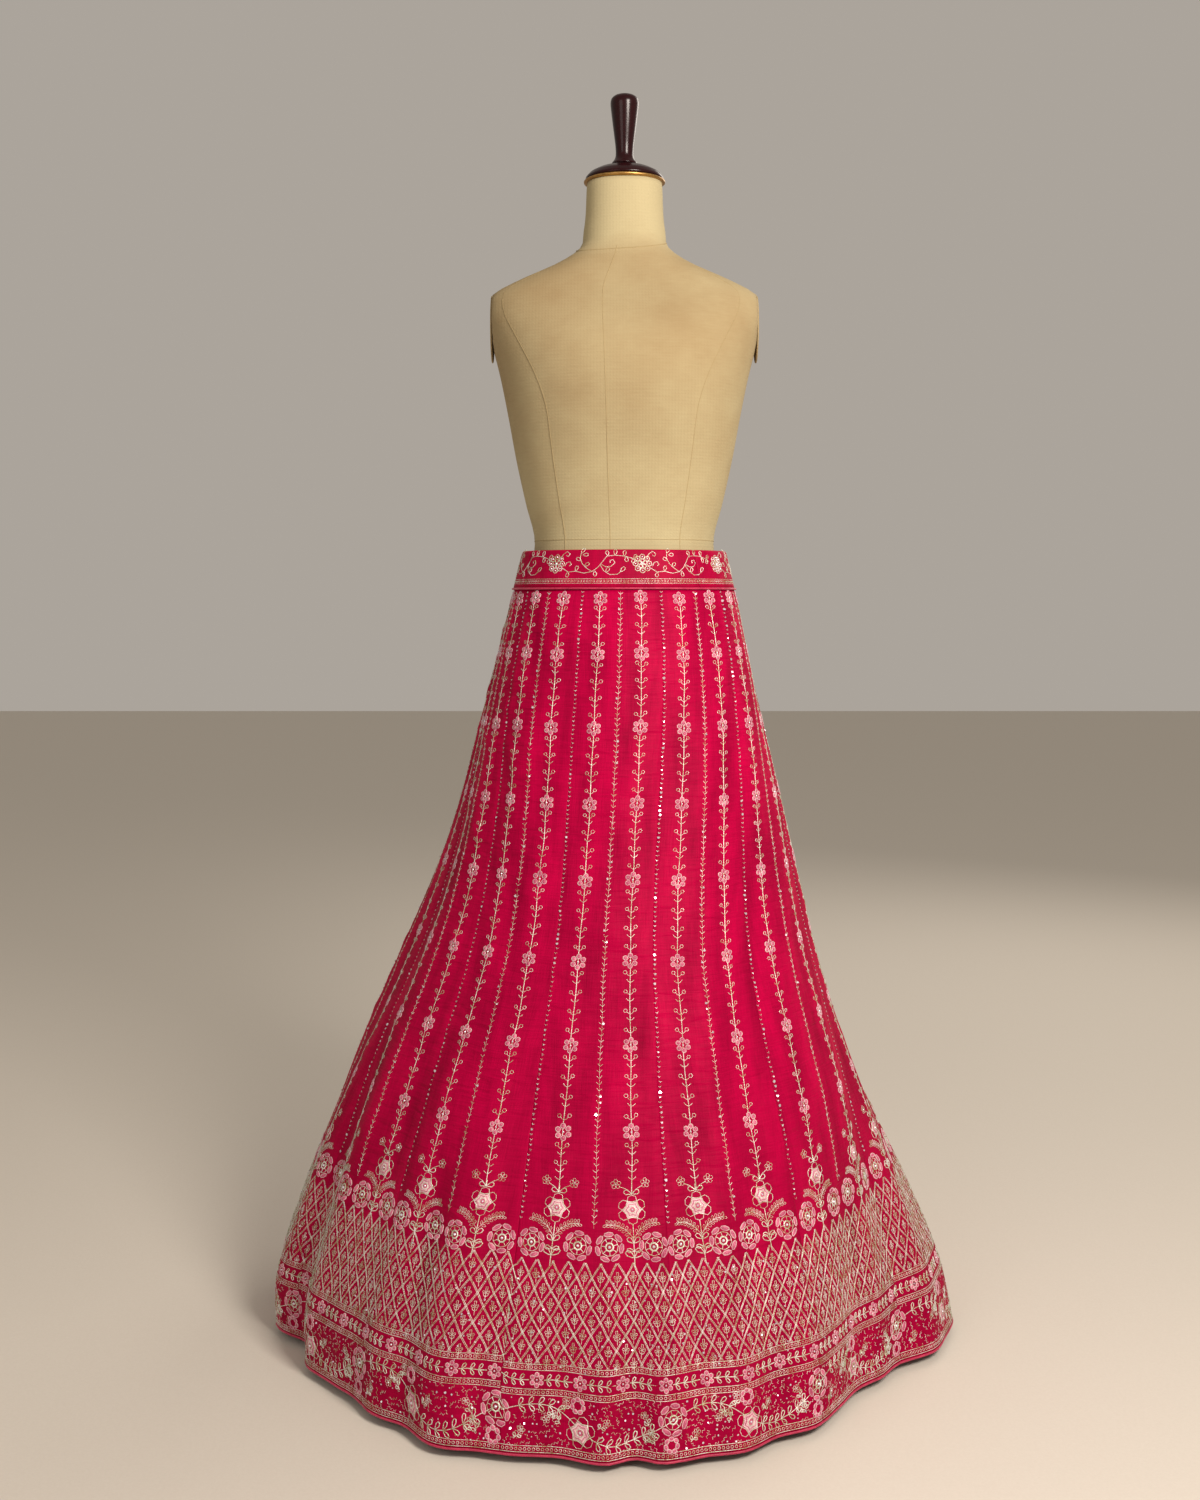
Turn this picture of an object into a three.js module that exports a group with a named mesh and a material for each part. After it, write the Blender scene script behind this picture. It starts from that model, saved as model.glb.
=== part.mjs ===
// A lehenga skirt of fourteen gores, hung on a limbless linen dress form with a pole and a round base.
// Millimetres, +Z up, the front faces -Y, +X is to the right of somebody who looks at the front.
// The origin is on the floor, in the middle of the base.
import * as THREE from 'three';

// ---- Driving dimensions -------------------------------------------------------------------------
const GORES = 14; // flared panels, each holding two embroidered vines
const UNITS = 2 * GORES; // one unit is the width of cloth around one vine
const GAP = 0.3; // clear space between two pieces at a seam
const CLOTH_WALL = 1.6; // silk, its lining and the embroidery's padding
const BAND_WALL = 2.2; // the stiffened waistband
const PIPING_DIAMETER = 3; // cord piping at both edges of the skirt

const BAND_TOP = 990; // height of the waistband's upper edge
const WAIST_SEAM = 941; // height of the seam between waistband and gores
const HEM = 12; // height of the gores' lower edge
const NECK_BASE = 1371; // where the form's neck starts
const NECK_TOP = 1452;
const TORSO_BOTTOM = 715;
const ARMHOLE_X = 167; // the flat armhole ends stand this far from the middle
const BASE_RADIUS = 190;
const BASE_HEIGHT = 26;
const POLE_RADIUS = 16;

const COLUMNS_PER_UNIT = 4; // facets across one unit of a gore
const GORE_ROWS = 12; // facets down a gore
const ROUND_STEPS = 32; // facets around the turned pieces
const TORSO_STEPS = 36;

// Outline of the skirt: half-widths to the left, right, front and back of the pole.
const SKIRT_PROFILE = [
  { height: HEM, left: 440, right: 424, front: 470, back: 414 },
  { height: 71, left: 441, right: 409, front: 451, back: 400 },
  { height: 152, left: 417, right: 374, front: 421, back: 372 },
  { height: 258, left: 378, right: 325, front: 371, back: 336 },
  { height: 364, left: 335, right: 284, front: 322, back: 302 },
  { height: 468, left: 288, right: 252, front: 279, back: 268 },
  { height: 572, left: 243, right: 226, front: 236, back: 236 },
  { height: 675, left: 208, right: 203, front: 197, back: 203 },
  { height: 777, left: 182, right: 179, front: 163, back: 170 },
  { height: 878, left: 157, right: 156, front: 133, back: 138 },
  { height: WAIST_SEAM, left: 142, right: 142, front: 116, back: 118 },
];

// Outline of the waistband, which leans in towards its upper edge.
const BAND_PROFILE = [
  { height: WAIST_SEAM, left: 143, right: 143, front: 117, back: 119 },
  { height: BAND_TOP, left: 131, right: 131, front: 106, back: 108 },
];

// The largest folds. unit: place around the skirt, counted from the seam just right of the middle;
// half: half-width in units; depth: mm outwards; starts, full: where on the way down the fold begins
// and where it has its whole depth, from 0 at the waist seam to 1 at the hem.
const FOLDS = [
  { unit: -6.6, half: 1.0, depth: 12, starts: 0.5, full: 1.0 },
  { unit: -5.7, half: 0.6, depth: -10, starts: 0.6, full: 0.9 },
  { unit: -4.45, half: 0.8, depth: -7, starts: 0.3, full: 0.85 },
  { unit: -2.6, half: 0.85, depth: 12, starts: 0.45, full: 1.0 },
  { unit: -1.45, half: 0.75, depth: -9, starts: 0.72, full: 1.0 },
  { unit: -0.5, half: 0.34, depth: -12, starts: 0.7, full: 0.98 },
  { unit: 1.2, half: 1.2, depth: -18, starts: 0.66, full: 1.0 },
  { unit: 3.15, half: 2.0, depth: -46, starts: 0.62, full: 1.0 },
  { unit: 5.3, half: 0.9, depth: 5, starts: 0.4, full: 0.95 },
];

// How the units are spread around the ring, in degrees from the front.
const SPREAD = {
  waistSeam: 17.4, // the reference seam's place at the waist
  hemSeam: 7.3, // and at the hem
  frontPitch: 19.8, // degrees a unit across the smooth front of the waist
  frontHalf: 4.5, // units that lie smooth, each side of the reference seam
  soft: 0.7, // units over which the smooth front turns into the gathered back
  sideShift: 24, // degrees by which the right side is drawn round halfway down
};

// Soft gathers of the back, in mm: pleats under the waist, then broad flutes and ripples towards the hem,
// and how many flutes and ripples a whole ring would hold.
const BACK = { pleatAtWaist: 2, pleat: 9, flute: 13, flutes: 9, ripple: 5, ripples: 15 };

// The form's torso: half-width, and depths to the front and back.
const TORSO_PROFILE = [
  { height: TORSO_BOTTOM, half: 126, front: 98, back: 108 },
  { height: 722, half: 140, front: 108, back: 120 },
  { height: 760, half: 153, front: 118, back: 134 },
  { height: 810, half: 156, front: 121, back: 138 },
  { height: 860, half: 148, front: 115, back: 127 },
  { height: 905, half: 137, front: 104, back: 110 },
  { height: 950, half: 125, front: 96, back: 97 },
  { height: 1003, half: 115, front: 91, back: 86 },
  { height: 1050, half: 126, front: 97, back: 88 },
  { height: 1105, half: 138, front: 108, back: 94 },
  { height: 1160, half: 148, front: 124, back: 99 },
  { height: 1210, half: 158, front: 131, back: 102 },
  { height: 1255, half: 169, front: 120, back: 103 },
  { height: 1290, half: 176, front: 96, back: 98 },
  { height: 1313, half: 168, front: 78, back: 89 },
  { height: 1333, half: 130, front: 66, back: 78 },
  { height: 1350, half: 90, front: 58, back: 67 },
  { height: 1362, half: 68, front: 54, back: 60 },
  { height: NECK_BASE, half: 57, front: 51, back: 54 },
  { height: 1392, half: 52, front: 50, back: 51 },
  { height: NECK_TOP, half: 47.5, front: 47, back: 47 },
];

// The oval plates that close the armholes, and where their middle is.
const ARMHOLE_PLATE = { thickness: 3, halfDepth: 30, halfHeight: 42, height: 1272, setBack: 4 };

const FINISHES = {
  silk: { color: 0xc8003c, roughness: 0.5, metalness: 0 },
  band: { color: 0xbe0a3c, roughness: 0.5, metalness: 0 },
  piping: { color: 0xe0406a, roughness: 0.45, metalness: 0 },
  linen: { color: 0xdfcb9b, roughness: 0.85, metalness: 0 },
  lacquer: { color: 0x2e1316, roughness: 0.2, metalness: 0 },
  gilt: { color: 0xb58a4a, roughness: 0.3, metalness: 1 },
  iron: { color: 0x26262a, roughness: 0.5, metalness: 0.6 },
};

// ---- Small mathematics ----------------------------------------------------------------------------
const radians = (degrees) => (degrees * Math.PI) / 180;
const mix = (a, b, share) => a + (b - a) * share;
const softplus = (x) => Math.max(x, 0) + Math.log1p(Math.exp(-Math.abs(x)));

/** 0 below start, 1 above end, an S-curve between. */
function ease(start, end, x) {
  const share = Math.min(Math.max((x - start) / (end - start), 0), 1);
  return share * share * (3 - 2 * share);
}

/** The same place around the skirt, counted from -UNITS/2 to UNITS/2. */
const wrapUnit = (unit) => THREE.MathUtils.euclideanModulo(unit + UNITS / 2, UNITS) - UNITS / 2;

/** Slope of a table's column at row i, from its two neighbours. */
function slopeAt(rows, column, i) {
  const first = Math.max(i - 1, 0);
  const last = Math.min(i + 1, rows.length - 1);
  const slope = (a, b) => (rows[b][column] - rows[a][column]) / (rows[b].height - rows[a].height);
  if (first === i || last === i) return slope(first, last);
  const below = rows[i].height - rows[first].height;
  const above = rows[last].height - rows[i].height;
  return (slope(first, i) * above + slope(i, last) * below) / (below + above);
}

/** A table's column at any height, on a smooth cubic through its rows. */
function read(rows, column, height) {
  let i = 0;
  while (i < rows.length - 2 && rows[i + 1].height <= height) i += 1;
  const step = rows[i + 1].height - rows[i].height;
  const t = (height - rows[i].height) / step;
  const start = rows[i][column];
  const end = rows[i + 1][column];
  const leaving = slopeAt(rows, column, i) * step;
  const arriving = slopeAt(rows, column, i + 1) * step;
  return (
    (1 + 2 * t) * (1 - t) ** 2 * start + t * (1 - t) ** 2 * leaving +
    t * t * (3 - 2 * t) * end + t * t * (t - 1) * arriving
  );
}

// ---- The skirt's surface --------------------------------------------------------------------------
/** Degrees from the front at which a unit lies, drop being 0 at the waist seam and 1 at the hem. */
function turnAt(unit, drop) {
  const { waistSeam, hemSeam, frontPitch, frontHalf, soft, sideShift } = SPREAD;
  const place = wrapUnit(unit);
  const backPitch = (360 - 2 * frontHalf * frontPitch) / (UNITS - 2 * frontHalf);
  const smoothPart =
    soft * (softplus((place + frontHalf) / soft) - softplus((place - frontHalf) / soft)) - frontHalf;
  const atWaist = waistSeam + backPitch * place + (frontPitch - backPitch) * smoothPart;
  const shift = place > 0 ? sideShift * Math.sin((Math.PI * place) / (UNITS / 2)) ** 2 : 0;
  const atHem = hemSeam + (360 / UNITS) * place + shift * Math.sin(Math.PI * drop);
  return mix(atWaist, atHem, ease(0, 0.5, drop));
}

/** How far the cloth stands out of its smooth outline, in mm. */
function foldAt(unit, drop) {
  const place = wrapUnit(unit);
  let depth = 0;
  for (const fold of FOLDS) {
    const across = Math.min(Math.abs(place - fold.unit) / fold.half, 1);
    const crest = Math.cos((across * Math.PI) / 2) ** 2;
    depth += fold.depth * crest * ease(fold.starts, fold.full, drop);
  }
  const fading = ease(0, 0.25, drop) * BACK.pleat;
  const ending = ease(0.45, 0.9, drop) * (BACK.pleatAtWaist + BACK.pleat);
  const pleats = Math.cos(2 * Math.PI * place) * (BACK.pleatAtWaist + fading - ending);
  const flutes =
    BACK.flute * Math.sin((2 * Math.PI * BACK.flutes * (place - 7)) / UNITS) * ease(0.35, 1, drop) +
    BACK.ripple * Math.sin((2 * Math.PI * BACK.ripples * place) / UNITS) * ease(0.5, 1, drop);
  return depth + ease(6, 9, Math.abs(place)) * (pleats + flutes);
}

/** A point on a ring of quarter ellipses, moved out along the ring's level normal. */
function ringPoint(rows, height, degrees, out) {
  const right = Math.sin(radians(degrees));
  const front = Math.cos(radians(degrees));
  const width = read(rows, right > 0 ? 'right' : 'left', height);
  const depth = read(rows, front > 0 ? 'front' : 'back', height);
  const normal = new THREE.Vector2(right * depth, -front * width).normalize();
  return new THREE.Vector3(right * width + out * normal.x, -front * depth + out * normal.y, height);
}

/** A point of the cloth's outer face. */
function outerFace(unit, drop) {
  return ringPoint(SKIRT_PROFILE, mix(WAIST_SEAM, HEM, drop), turnAt(unit, drop), foldAt(unit, drop));
}

/** A point moved off the cloth's outer face by lift, along the face's own normal. */
function skirtPoint(unit, drop, lift) {
  const nudge = 0.002;
  const across = outerFace(unit + nudge, drop).sub(outerFace(unit - nudge, drop));
  const down = outerFace(unit, drop + nudge).sub(outerFace(unit, drop - nudge));
  return outerFace(unit, drop).addScaledVector(down.cross(across).normalize(), lift);
}

// ---- Solids from grids ------------------------------------------------------------------------------
/** One closed solid from an outer and an inner grid of points, each given as rows. */
function wallSolid(outer, inner, closedRound) {
  const rows = outer.length;
  const columns = outer[0].length;
  const positions = [...outer.flat(), ...inner.flat()].flatMap((point) => point.toArray());
  const outerIndex = (row, column) => row * columns + (column % columns);
  const innerIndex = (row, column) => rows * columns + outerIndex(row, column);
  const faces = [];
  const quad = (a, b, c, d) => faces.push(a, b, c, a, c, d);
  const steps = closedRound ? columns : columns - 1;
  for (let column = 0; column < steps; column += 1) {
    for (let row = 0; row < rows - 1; row += 1) {
      quad(outerIndex(row, column), outerIndex(row + 1, column),
        outerIndex(row + 1, column + 1), outerIndex(row, column + 1));
      quad(innerIndex(row, column + 1), innerIndex(row + 1, column + 1),
        innerIndex(row + 1, column), innerIndex(row, column));
    }
    quad(innerIndex(0, column), outerIndex(0, column), outerIndex(0, column + 1), innerIndex(0, column + 1));
    quad(innerIndex(rows - 1, column + 1), outerIndex(rows - 1, column + 1),
      outerIndex(rows - 1, column), innerIndex(rows - 1, column));
  }
  if (!closedRound) {
    for (let row = 0; row < rows - 1; row += 1) {
      quad(innerIndex(row, 0), innerIndex(row + 1, 0), outerIndex(row + 1, 0), outerIndex(row, 0));
      quad(outerIndex(row, steps), outerIndex(row + 1, steps),
        innerIndex(row + 1, steps), innerIndex(row, steps));
    }
  }
  const geometry = new THREE.BufferGeometry();
  geometry.setAttribute('position', new THREE.Float32BufferAttribute(positions, 3));
  geometry.setIndex(faces);
  geometry.computeVertexNormals();
  return geometry;
}

/** A grid of points: rowCount rows by columnCount columns of place(row, column). */
function grid(rowCount, columnCount, place) {
  return Array.from({ length: rowCount }, (_, row) =>
    Array.from({ length: columnCount }, (__, column) => place(row, column)));
}

/** A turned solid from a profile of [radius, height] pairs that starts and ends on the axis. */
function turnedSolid(profile) {
  const points = profile.map(([radius, height]) => new THREE.Vector2(radius, height));
  return new THREE.LatheGeometry(points, ROUND_STEPS).rotateX(Math.PI / 2);
}

// ---- Sub-parts ----------------------------------------------------------------------------------------
const model = new THREE.Group();

function add(name, geometry, finish) {
  const mesh = new THREE.Mesh(geometry, new THREE.MeshStandardMaterial(FINISHES[finish]));
  mesh.name = name;
  model.add(mesh);
}

/** One gore: a curved wall two units wide, half a gap short at each side seam. */
function goreSolid(number) {
  const columns = 2 * COLUMNS_PER_UNIT + 1;
  const firstUnit = 2 * number;
  const face = (lift) => grid(GORE_ROWS + 1, columns, (row, column) => {
    const drop = row / GORE_ROWS;
    const unit = firstUnit + column / COLUMNS_PER_UNIT;
    const point = skirtPoint(unit, drop, lift);
    const side = column === 0 ? 1 : -1;
    if (column > 0 && column < columns - 1) return point;
    const inwards = skirtPoint(unit + side * 0.01, drop, lift).sub(point).normalize();
    return point.addScaledVector(inwards, GAP / 2);
  });
  return wallSolid(face(0), face(-CLOTH_WALL), false);
}

/** A stretch of the waistband between two places around the waist, in degrees from the front. */
function bandSolid(from, to) {
  const stations = bandStations(from, to);
  const heights = [BAND_TOP, (BAND_TOP + WAIST_SEAM) / 2, WAIST_SEAM + GAP];
  const face = (out) => grid(heights.length, stations.length, (row, column) => {
    const point = ringPoint(BAND_PROFILE, heights[row], stations[column], out);
    if (column > 0 && column < stations.length - 1) return point;
    const neighbour = stations[column === 0 ? 1 : column - 1];
    const inwards = ringPoint(BAND_PROFILE, heights[row], neighbour, out).sub(point).normalize();
    return point.addScaledVector(inwards, GAP / 2);
  });
  return wallSolid(face(0), face(-BAND_WALL), false);
}

/** Places around a stretch of the waistband, about eight degrees apart. */
function bandStations(from, to) {
  const steps = Math.round((to - from) / 8);
  return Array.from({ length: steps + 1 }, (_, i) => mix(from, to, i / steps));
}

/** The waistband's joints: two in front, and the plain closing in the middle of the back. */
const BAND_PIECES = [
  { name: 'waistband_left', from: -180, to: -64 },
  { name: 'waistband_front', from: -64, to: 41 },
  { name: 'waistband_right', from: 41, to: 180 },
];

/** The cord piping that lies on the waistband's lower edge, all round, square in section. */
function waistPipingSolid() {
  const stations = BAND_PIECES.flatMap(({ from, to }) => bandStations(from, to).slice(0, -1));
  const bottom = WAIST_SEAM + GAP;
  const heights = [bottom + PIPING_DIAMETER, bottom];
  const face = (out) => grid(2, stations.length, (row, column) =>
    ringPoint(BAND_PROFILE, heights[row], stations[column], out));
  return wallSolid(face(GAP + PIPING_DIAMETER), face(GAP), true);
}

/** The bright edge under the hem: it follows every fold of the gores. */
function hemPipingSolid() {
  const columns = UNITS * COLUMNS_PER_UNIT;
  const top = HEM - 1.1; // the wall's slant carries its inner edge a little below the hem
  const heights = [top, top - PIPING_DIAMETER];
  const proud = (PIPING_DIAMETER - CLOTH_WALL) / 2;
  const face = (lift) => grid(2, columns, (row, column) =>
    skirtPoint(column / COLUMNS_PER_UNIT, 1, lift).setZ(heights[row]));
  return wallSolid(face(proud), face(-CLOTH_WALL - proud), true);
}

/** Half-depth and half-width of the torso as one ring of slightly squared ellipses. */
function torsoPoint(height, step) {
  const angle = (2 * Math.PI * step) / TORSO_STEPS;
  const fullness = 0.9; // below 1, the ring is fuller at its corners than an ellipse
  const across = Math.sign(Math.sin(angle)) * Math.abs(Math.sin(angle)) ** fullness;
  const along = Math.sign(Math.cos(angle)) * Math.abs(Math.cos(angle)) ** fullness;
  const depth = read(TORSO_PROFILE, along > 0 ? 'front' : 'back', height);
  const x = across * read(TORSO_PROFILE, 'half', height);
  return new THREE.Vector3(THREE.MathUtils.clamp(x, -ARMHOLE_X, ARMHOLE_X), -along * depth, height);
}

/** The padded torso and neck, one closed loft with flat ends at the armholes. */
function torsoSolid() {
  const heights = TORSO_PROFILE.map((row) => row.height).reverse();
  const rings = heights.flatMap((height) =>
    Array.from({ length: TORSO_STEPS }, (_, step) => torsoPoint(height, step)));
  const top = rings.length;
  const positions = [...rings, new THREE.Vector3(0, 0, heights[0]), new THREE.Vector3(0, 0, TORSO_BOTTOM)];
  const faces = [];
  for (let step = 0; step < TORSO_STEPS; step += 1) {
    const next = (step + 1) % TORSO_STEPS;
    for (let ring = 0; ring < heights.length - 1; ring += 1) {
      const upper = ring * TORSO_STEPS;
      const lower = upper + TORSO_STEPS;
      faces.push(upper + step, lower + step, lower + next, upper + step, lower + next, upper + next);
    }
    const last = (heights.length - 1) * TORSO_STEPS;
    faces.push(top, step, next, top + 1, last + next, last + step);
  }
  const geometry = new THREE.BufferGeometry();
  const numbers = positions.flatMap((point) => point.toArray());
  geometry.setAttribute('position', new THREE.Float32BufferAttribute(numbers, 3));
  geometry.setIndex(faces);
  geometry.computeVertexNormals();
  return geometry;
}

/** A thin oval plate on an armhole's flat end, on the side given by its sign. */
function armholePlateSolid(side) {
  const { thickness, halfDepth, halfHeight, height, setBack } = ARMHOLE_PLATE;
  const oval = new THREE.Shape();
  oval.absellipse(0, 0, halfDepth, halfHeight, 0, 2 * Math.PI);
  const plate = new THREE.ExtrudeGeometry(oval, { depth: thickness, bevelEnabled: false, curveSegments: 14 });
  plate.rotateY(Math.PI / 2).rotateX(Math.PI / 2);
  const start = side > 0 ? ARMHOLE_X + GAP : -ARMHOLE_X - GAP - thickness;
  return plate.translate(start, setBack, height);
}

for (let number = 0; number < GORES; number += 1) {
  add(`gore_${String(number + 1).padStart(2, '0')}`, goreSolid(number), 'silk');
}
for (const { name, from, to } of BAND_PIECES) {
  add(name, bandSolid(from, to), 'band');
}
add('waist_piping', waistPipingSolid(), 'piping');
add('hem_piping', hemPipingSolid(), 'piping');
add('form_torso', torsoSolid(), 'linen');
add('armhole_plate_left', armholePlateSolid(-1), 'linen');
add('armhole_plate_right', armholePlateSolid(1), 'linen');

const rimTop = NECK_TOP + GAP + 4;
add('neck_rim', turnedSolid([[0, NECK_TOP + GAP], [49, NECK_TOP + GAP], [51.5, NECK_TOP + GAP + 1],
  [51.5, rimTop - 1], [50, rimTop], [0, rimTop]]), 'gilt');
const capFoot = rimTop + GAP;
const capTop = capFoot + 19;
add('neck_cap', turnedSolid([[0, capFoot], [49, capFoot], [49.5, capFoot + 3], [44, capFoot + 9],
  [33, capFoot + 14.5], [20, capFoot + 18], [15, capTop], [0, capTop]]), 'lacquer');
const knobFoot = capTop + GAP;
add('knob', turnedSolid([[0, knobFoot], [16, knobFoot], [16.5, knobFoot + 2], [13, knobFoot + 6],
  [11, knobFoot + 11], [11.3, knobFoot + 22], [14.5, knobFoot + 46], [17.5, knobFoot + 70],
  [18, knobFoot + 77], [16.5, knobFoot + 82], [11, knobFoot + 86], [0, knobFoot + 87]]), 'lacquer');

const poleFoot = BASE_HEIGHT + GAP;
const poleTop = TORSO_BOTTOM - GAP;
add('pole', turnedSolid([[0, poleFoot], [30, poleFoot], [30, poleFoot + 12], [POLE_RADIUS, poleFoot + 26],
  [POLE_RADIUS, poleTop - 20], [45, poleTop - 12], [45, poleTop], [0, poleTop]]), 'iron');
add('base', turnedSolid([[0, 0], [BASE_RADIUS, 0], [BASE_RADIUS, 8], [BASE_RADIUS - 10, 14],
  [60, BASE_HEIGHT - 2], [40, BASE_HEIGHT], [0, BASE_HEIGHT]]), 'iron');

export default model;
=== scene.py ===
"""A lehenga skirt on a dress form: cloth, embroidery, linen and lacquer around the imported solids.

Outlines, motifs and relief are given in mm, and meshes are made in metres. A place on the skirt is a unit, counted
round it from the reference seam, and a drop, from 0 at the waist seam to 1 at the hem. A place on the band or the
form is in degrees from the front, and in parts of the way down.
"""

import logging
import math
from collections.abc import Callable, Iterable, Sequence
from dataclasses import dataclass, field, replace
from enum import Enum, IntEnum

import bpy
import numpy as np
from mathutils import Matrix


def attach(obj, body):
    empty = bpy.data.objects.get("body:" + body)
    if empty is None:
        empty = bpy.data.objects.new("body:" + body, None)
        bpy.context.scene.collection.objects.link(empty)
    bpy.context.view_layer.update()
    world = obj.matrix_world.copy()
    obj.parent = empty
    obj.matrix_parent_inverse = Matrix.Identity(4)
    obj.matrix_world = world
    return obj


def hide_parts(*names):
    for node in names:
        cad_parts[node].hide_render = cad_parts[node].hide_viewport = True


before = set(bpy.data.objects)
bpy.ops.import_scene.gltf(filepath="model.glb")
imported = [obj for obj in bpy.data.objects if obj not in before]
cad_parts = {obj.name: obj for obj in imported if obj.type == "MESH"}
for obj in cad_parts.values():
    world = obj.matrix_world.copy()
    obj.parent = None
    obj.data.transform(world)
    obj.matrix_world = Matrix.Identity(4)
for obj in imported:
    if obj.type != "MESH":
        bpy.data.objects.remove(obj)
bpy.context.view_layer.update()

log = logging.getLogger("lehenga")
Array = np.ndarray
Sockets = tuple[bpy.types.NodeSocket, bpy.types.NodeSocket]

MM = 0.001
ROOT = "root"
FORM = "form_torso"  # the solid that the cloth rests on
UNITS = 28  # widths of cloth round the skirt, one embroidered vine each
GORES = UNITS // 2
SEAMS = np.arange(GORES) * 2 - UNITS / 2  # where the gores' left seams lie, in units
VINES = np.arange(UNITS) - UNITS / 2 + 0.5  # where the vines lie, in units
CUT_LENGTH = 992.0  # mm from waist seam to hem along the cloth
UNIT_AT_HEM = 99.0  # mm of hem in a unit
WAVE_PERIOD = 2 * math.pi / 20  # how far apart a wave texture's bands are at scale 1


class Slot(Enum):
    """The record's material slots, one named beside each new piece's finish."""

    SILK = "silk"
    BAND = "band"
    PIPING = "piping"
    THREAD = "metallic_thread"
    PETALS = "petal_thread"
    SEQUINS = "sequins"
    LINEN = "linen"
    GILT = "gilt"
    LACQUER = "lacquer"
    IRON = "iron"


class Stitch(Enum):
    """What a stroke of embroidery is made with."""

    METAL = "thread"
    PINK = "petals"
    PALE_PINK = "petal_edges"
    SPANGLE = "sequins"
    SEAM = "welts"


class Seed(IntEnum):
    """Where each run of random draws starts, so that every build is the same."""

    HEM = 3
    LINES = 5
    LINE_SPANGLES = 6
    BRIGHT_SEQUINS = 7
    DULL_SEQUINS = 8
    FEET = 9
    PUCKERS = 14
    TRELLIS = 21
    TRELLIS_SPANGLES = 22
    VINES = 28
    FILLING = 77
    FILLING_SPANGLES = 78


# ---- Small mathematics -----------------------------------------------------------------------------------------------


def ease(start: float, end: float, x: Array) -> Array:
    """An S-curve: 0 below start, 1 above end, 3t^2 - 2t^3 between.

    Args:
        start: where it leaves 0.
        end: where it reaches 1.
        x: places to read.

    Returns:
        The curve's values.
    """
    t = np.clip((np.asarray(x, float) - start) / (end - start), 0.0, 1.0)
    return t * t * (3.0 - 2.0 * t)


def wrap_unit(unit: Array) -> Array:
    """The same place round the skirt, counted from -UNITS/2 to UNITS/2."""
    return np.mod(np.asarray(unit, float) + UNITS / 2, UNITS) - UNITS / 2


def normalised(vectors: Array) -> Array:
    """Vectors of length 1 along the last axis."""
    return vectors / np.maximum(np.linalg.norm(vectors, axis=-1, keepdims=True), 1e-12)


@dataclass(frozen=True)
class Outline:
    """A table of half-widths against height, read on a cubic with three-point slopes."""

    heights: tuple[float, ...]
    columns: dict[str, tuple[float, ...]]

    def read(self, column: str, height: Array) -> Array:
        """Reads one column.

        Args:
            column: its name.
            height: heights in mm.

        Returns:
            The column's value at each height, in mm.
        """
        x, y = np.array(self.heights, float), np.array(self.columns[column], float)
        slope = np.gradient(y, x)
        height = np.asarray(height, float)
        i = np.clip(np.searchsorted(x, height, side="right") - 1, 0, len(x) - 2)
        step = x[i + 1] - x[i]
        t = (height - x[i]) / step
        return (
            (1 + 2 * t) * (1 - t) ** 2 * y[i]
            + t * (1 - t) ** 2 * step * slope[i]
            + t * t * (3 - 2 * t) * y[i + 1]
            + t * t * (t - 1) * step * slope[i + 1]
        )


def ring_points(outline: Outline, height: Array, degrees: Array, out: Array) -> Array:
    """Points on rings of quarter ellipses: x = width sin a, y = -depth cos a, moved out on the level normal.

    Args:
        outline: columns left, right, front and back.
        height: heights in mm.
        degrees: places round the ring, from the front.
        out: distance outwards in mm.

    Returns:
        Points in mm, xyz last.
    """
    right, front = np.sin(np.radians(degrees)), np.cos(np.radians(degrees))
    width = np.where(right > 0, outline.read("right", height), outline.read("left", height))
    depth = np.where(front > 0, outline.read("front", height), outline.read("back", height))
    normal_x, normal_y = right * depth, -front * width
    length = np.hypot(normal_x, normal_y)
    x = right * width + out * normal_x / length
    y = -front * depth + out * normal_y / length
    return np.stack(np.broadcast_arrays(x, y, np.asarray(height, float)), axis=-1)


# ---- Meshes ----------------------------------------------------------------------------------------------------------


def mesh_object(name: str, points: Array, faces: Sequence[Array], uv: Array | None = None) -> bpy.types.Object:
    """Makes an object at the origin from whole arrays.

    Args:
        name: the piece's name.
        points: vertices in metres, shape (n, 3).
        faces: arrays of vertex numbers, each of shape (m, corners).
        uv: a place on the cut cloth for each vertex, in metres, or None.

    Returns:
        The new object, smooth shaded and linked to the scene.
    """
    mesh = bpy.data.meshes.new(name)
    corners = np.concatenate([block.ravel() for block in faces]).astype(np.int32)
    sizes = np.concatenate([np.full(len(block), block.shape[1]) for block in faces])
    starts = np.concatenate([[0], np.cumsum(sizes)[:-1]]).astype(np.int32)
    mesh.vertices.add(len(points))
    mesh.vertices.foreach_set("co", np.ascontiguousarray(points, np.float32).ravel())
    mesh.loops.add(len(corners))
    mesh.loops.foreach_set("vertex_index", corners)
    mesh.polygons.add(len(starts))
    mesh.polygons.foreach_set("loop_start", starts)
    mesh.update(calc_edges=True)
    mesh.validate()
    if uv is not None:
        layer = mesh.uv_layers.new(name="cut")
        layer.data.foreach_set("uv", uv[corners].astype(np.float32).ravel())
    mesh.shade_smooth()
    made = bpy.data.objects.new(name, mesh)
    bpy.context.scene.collection.objects.link(made)
    return made


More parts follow.
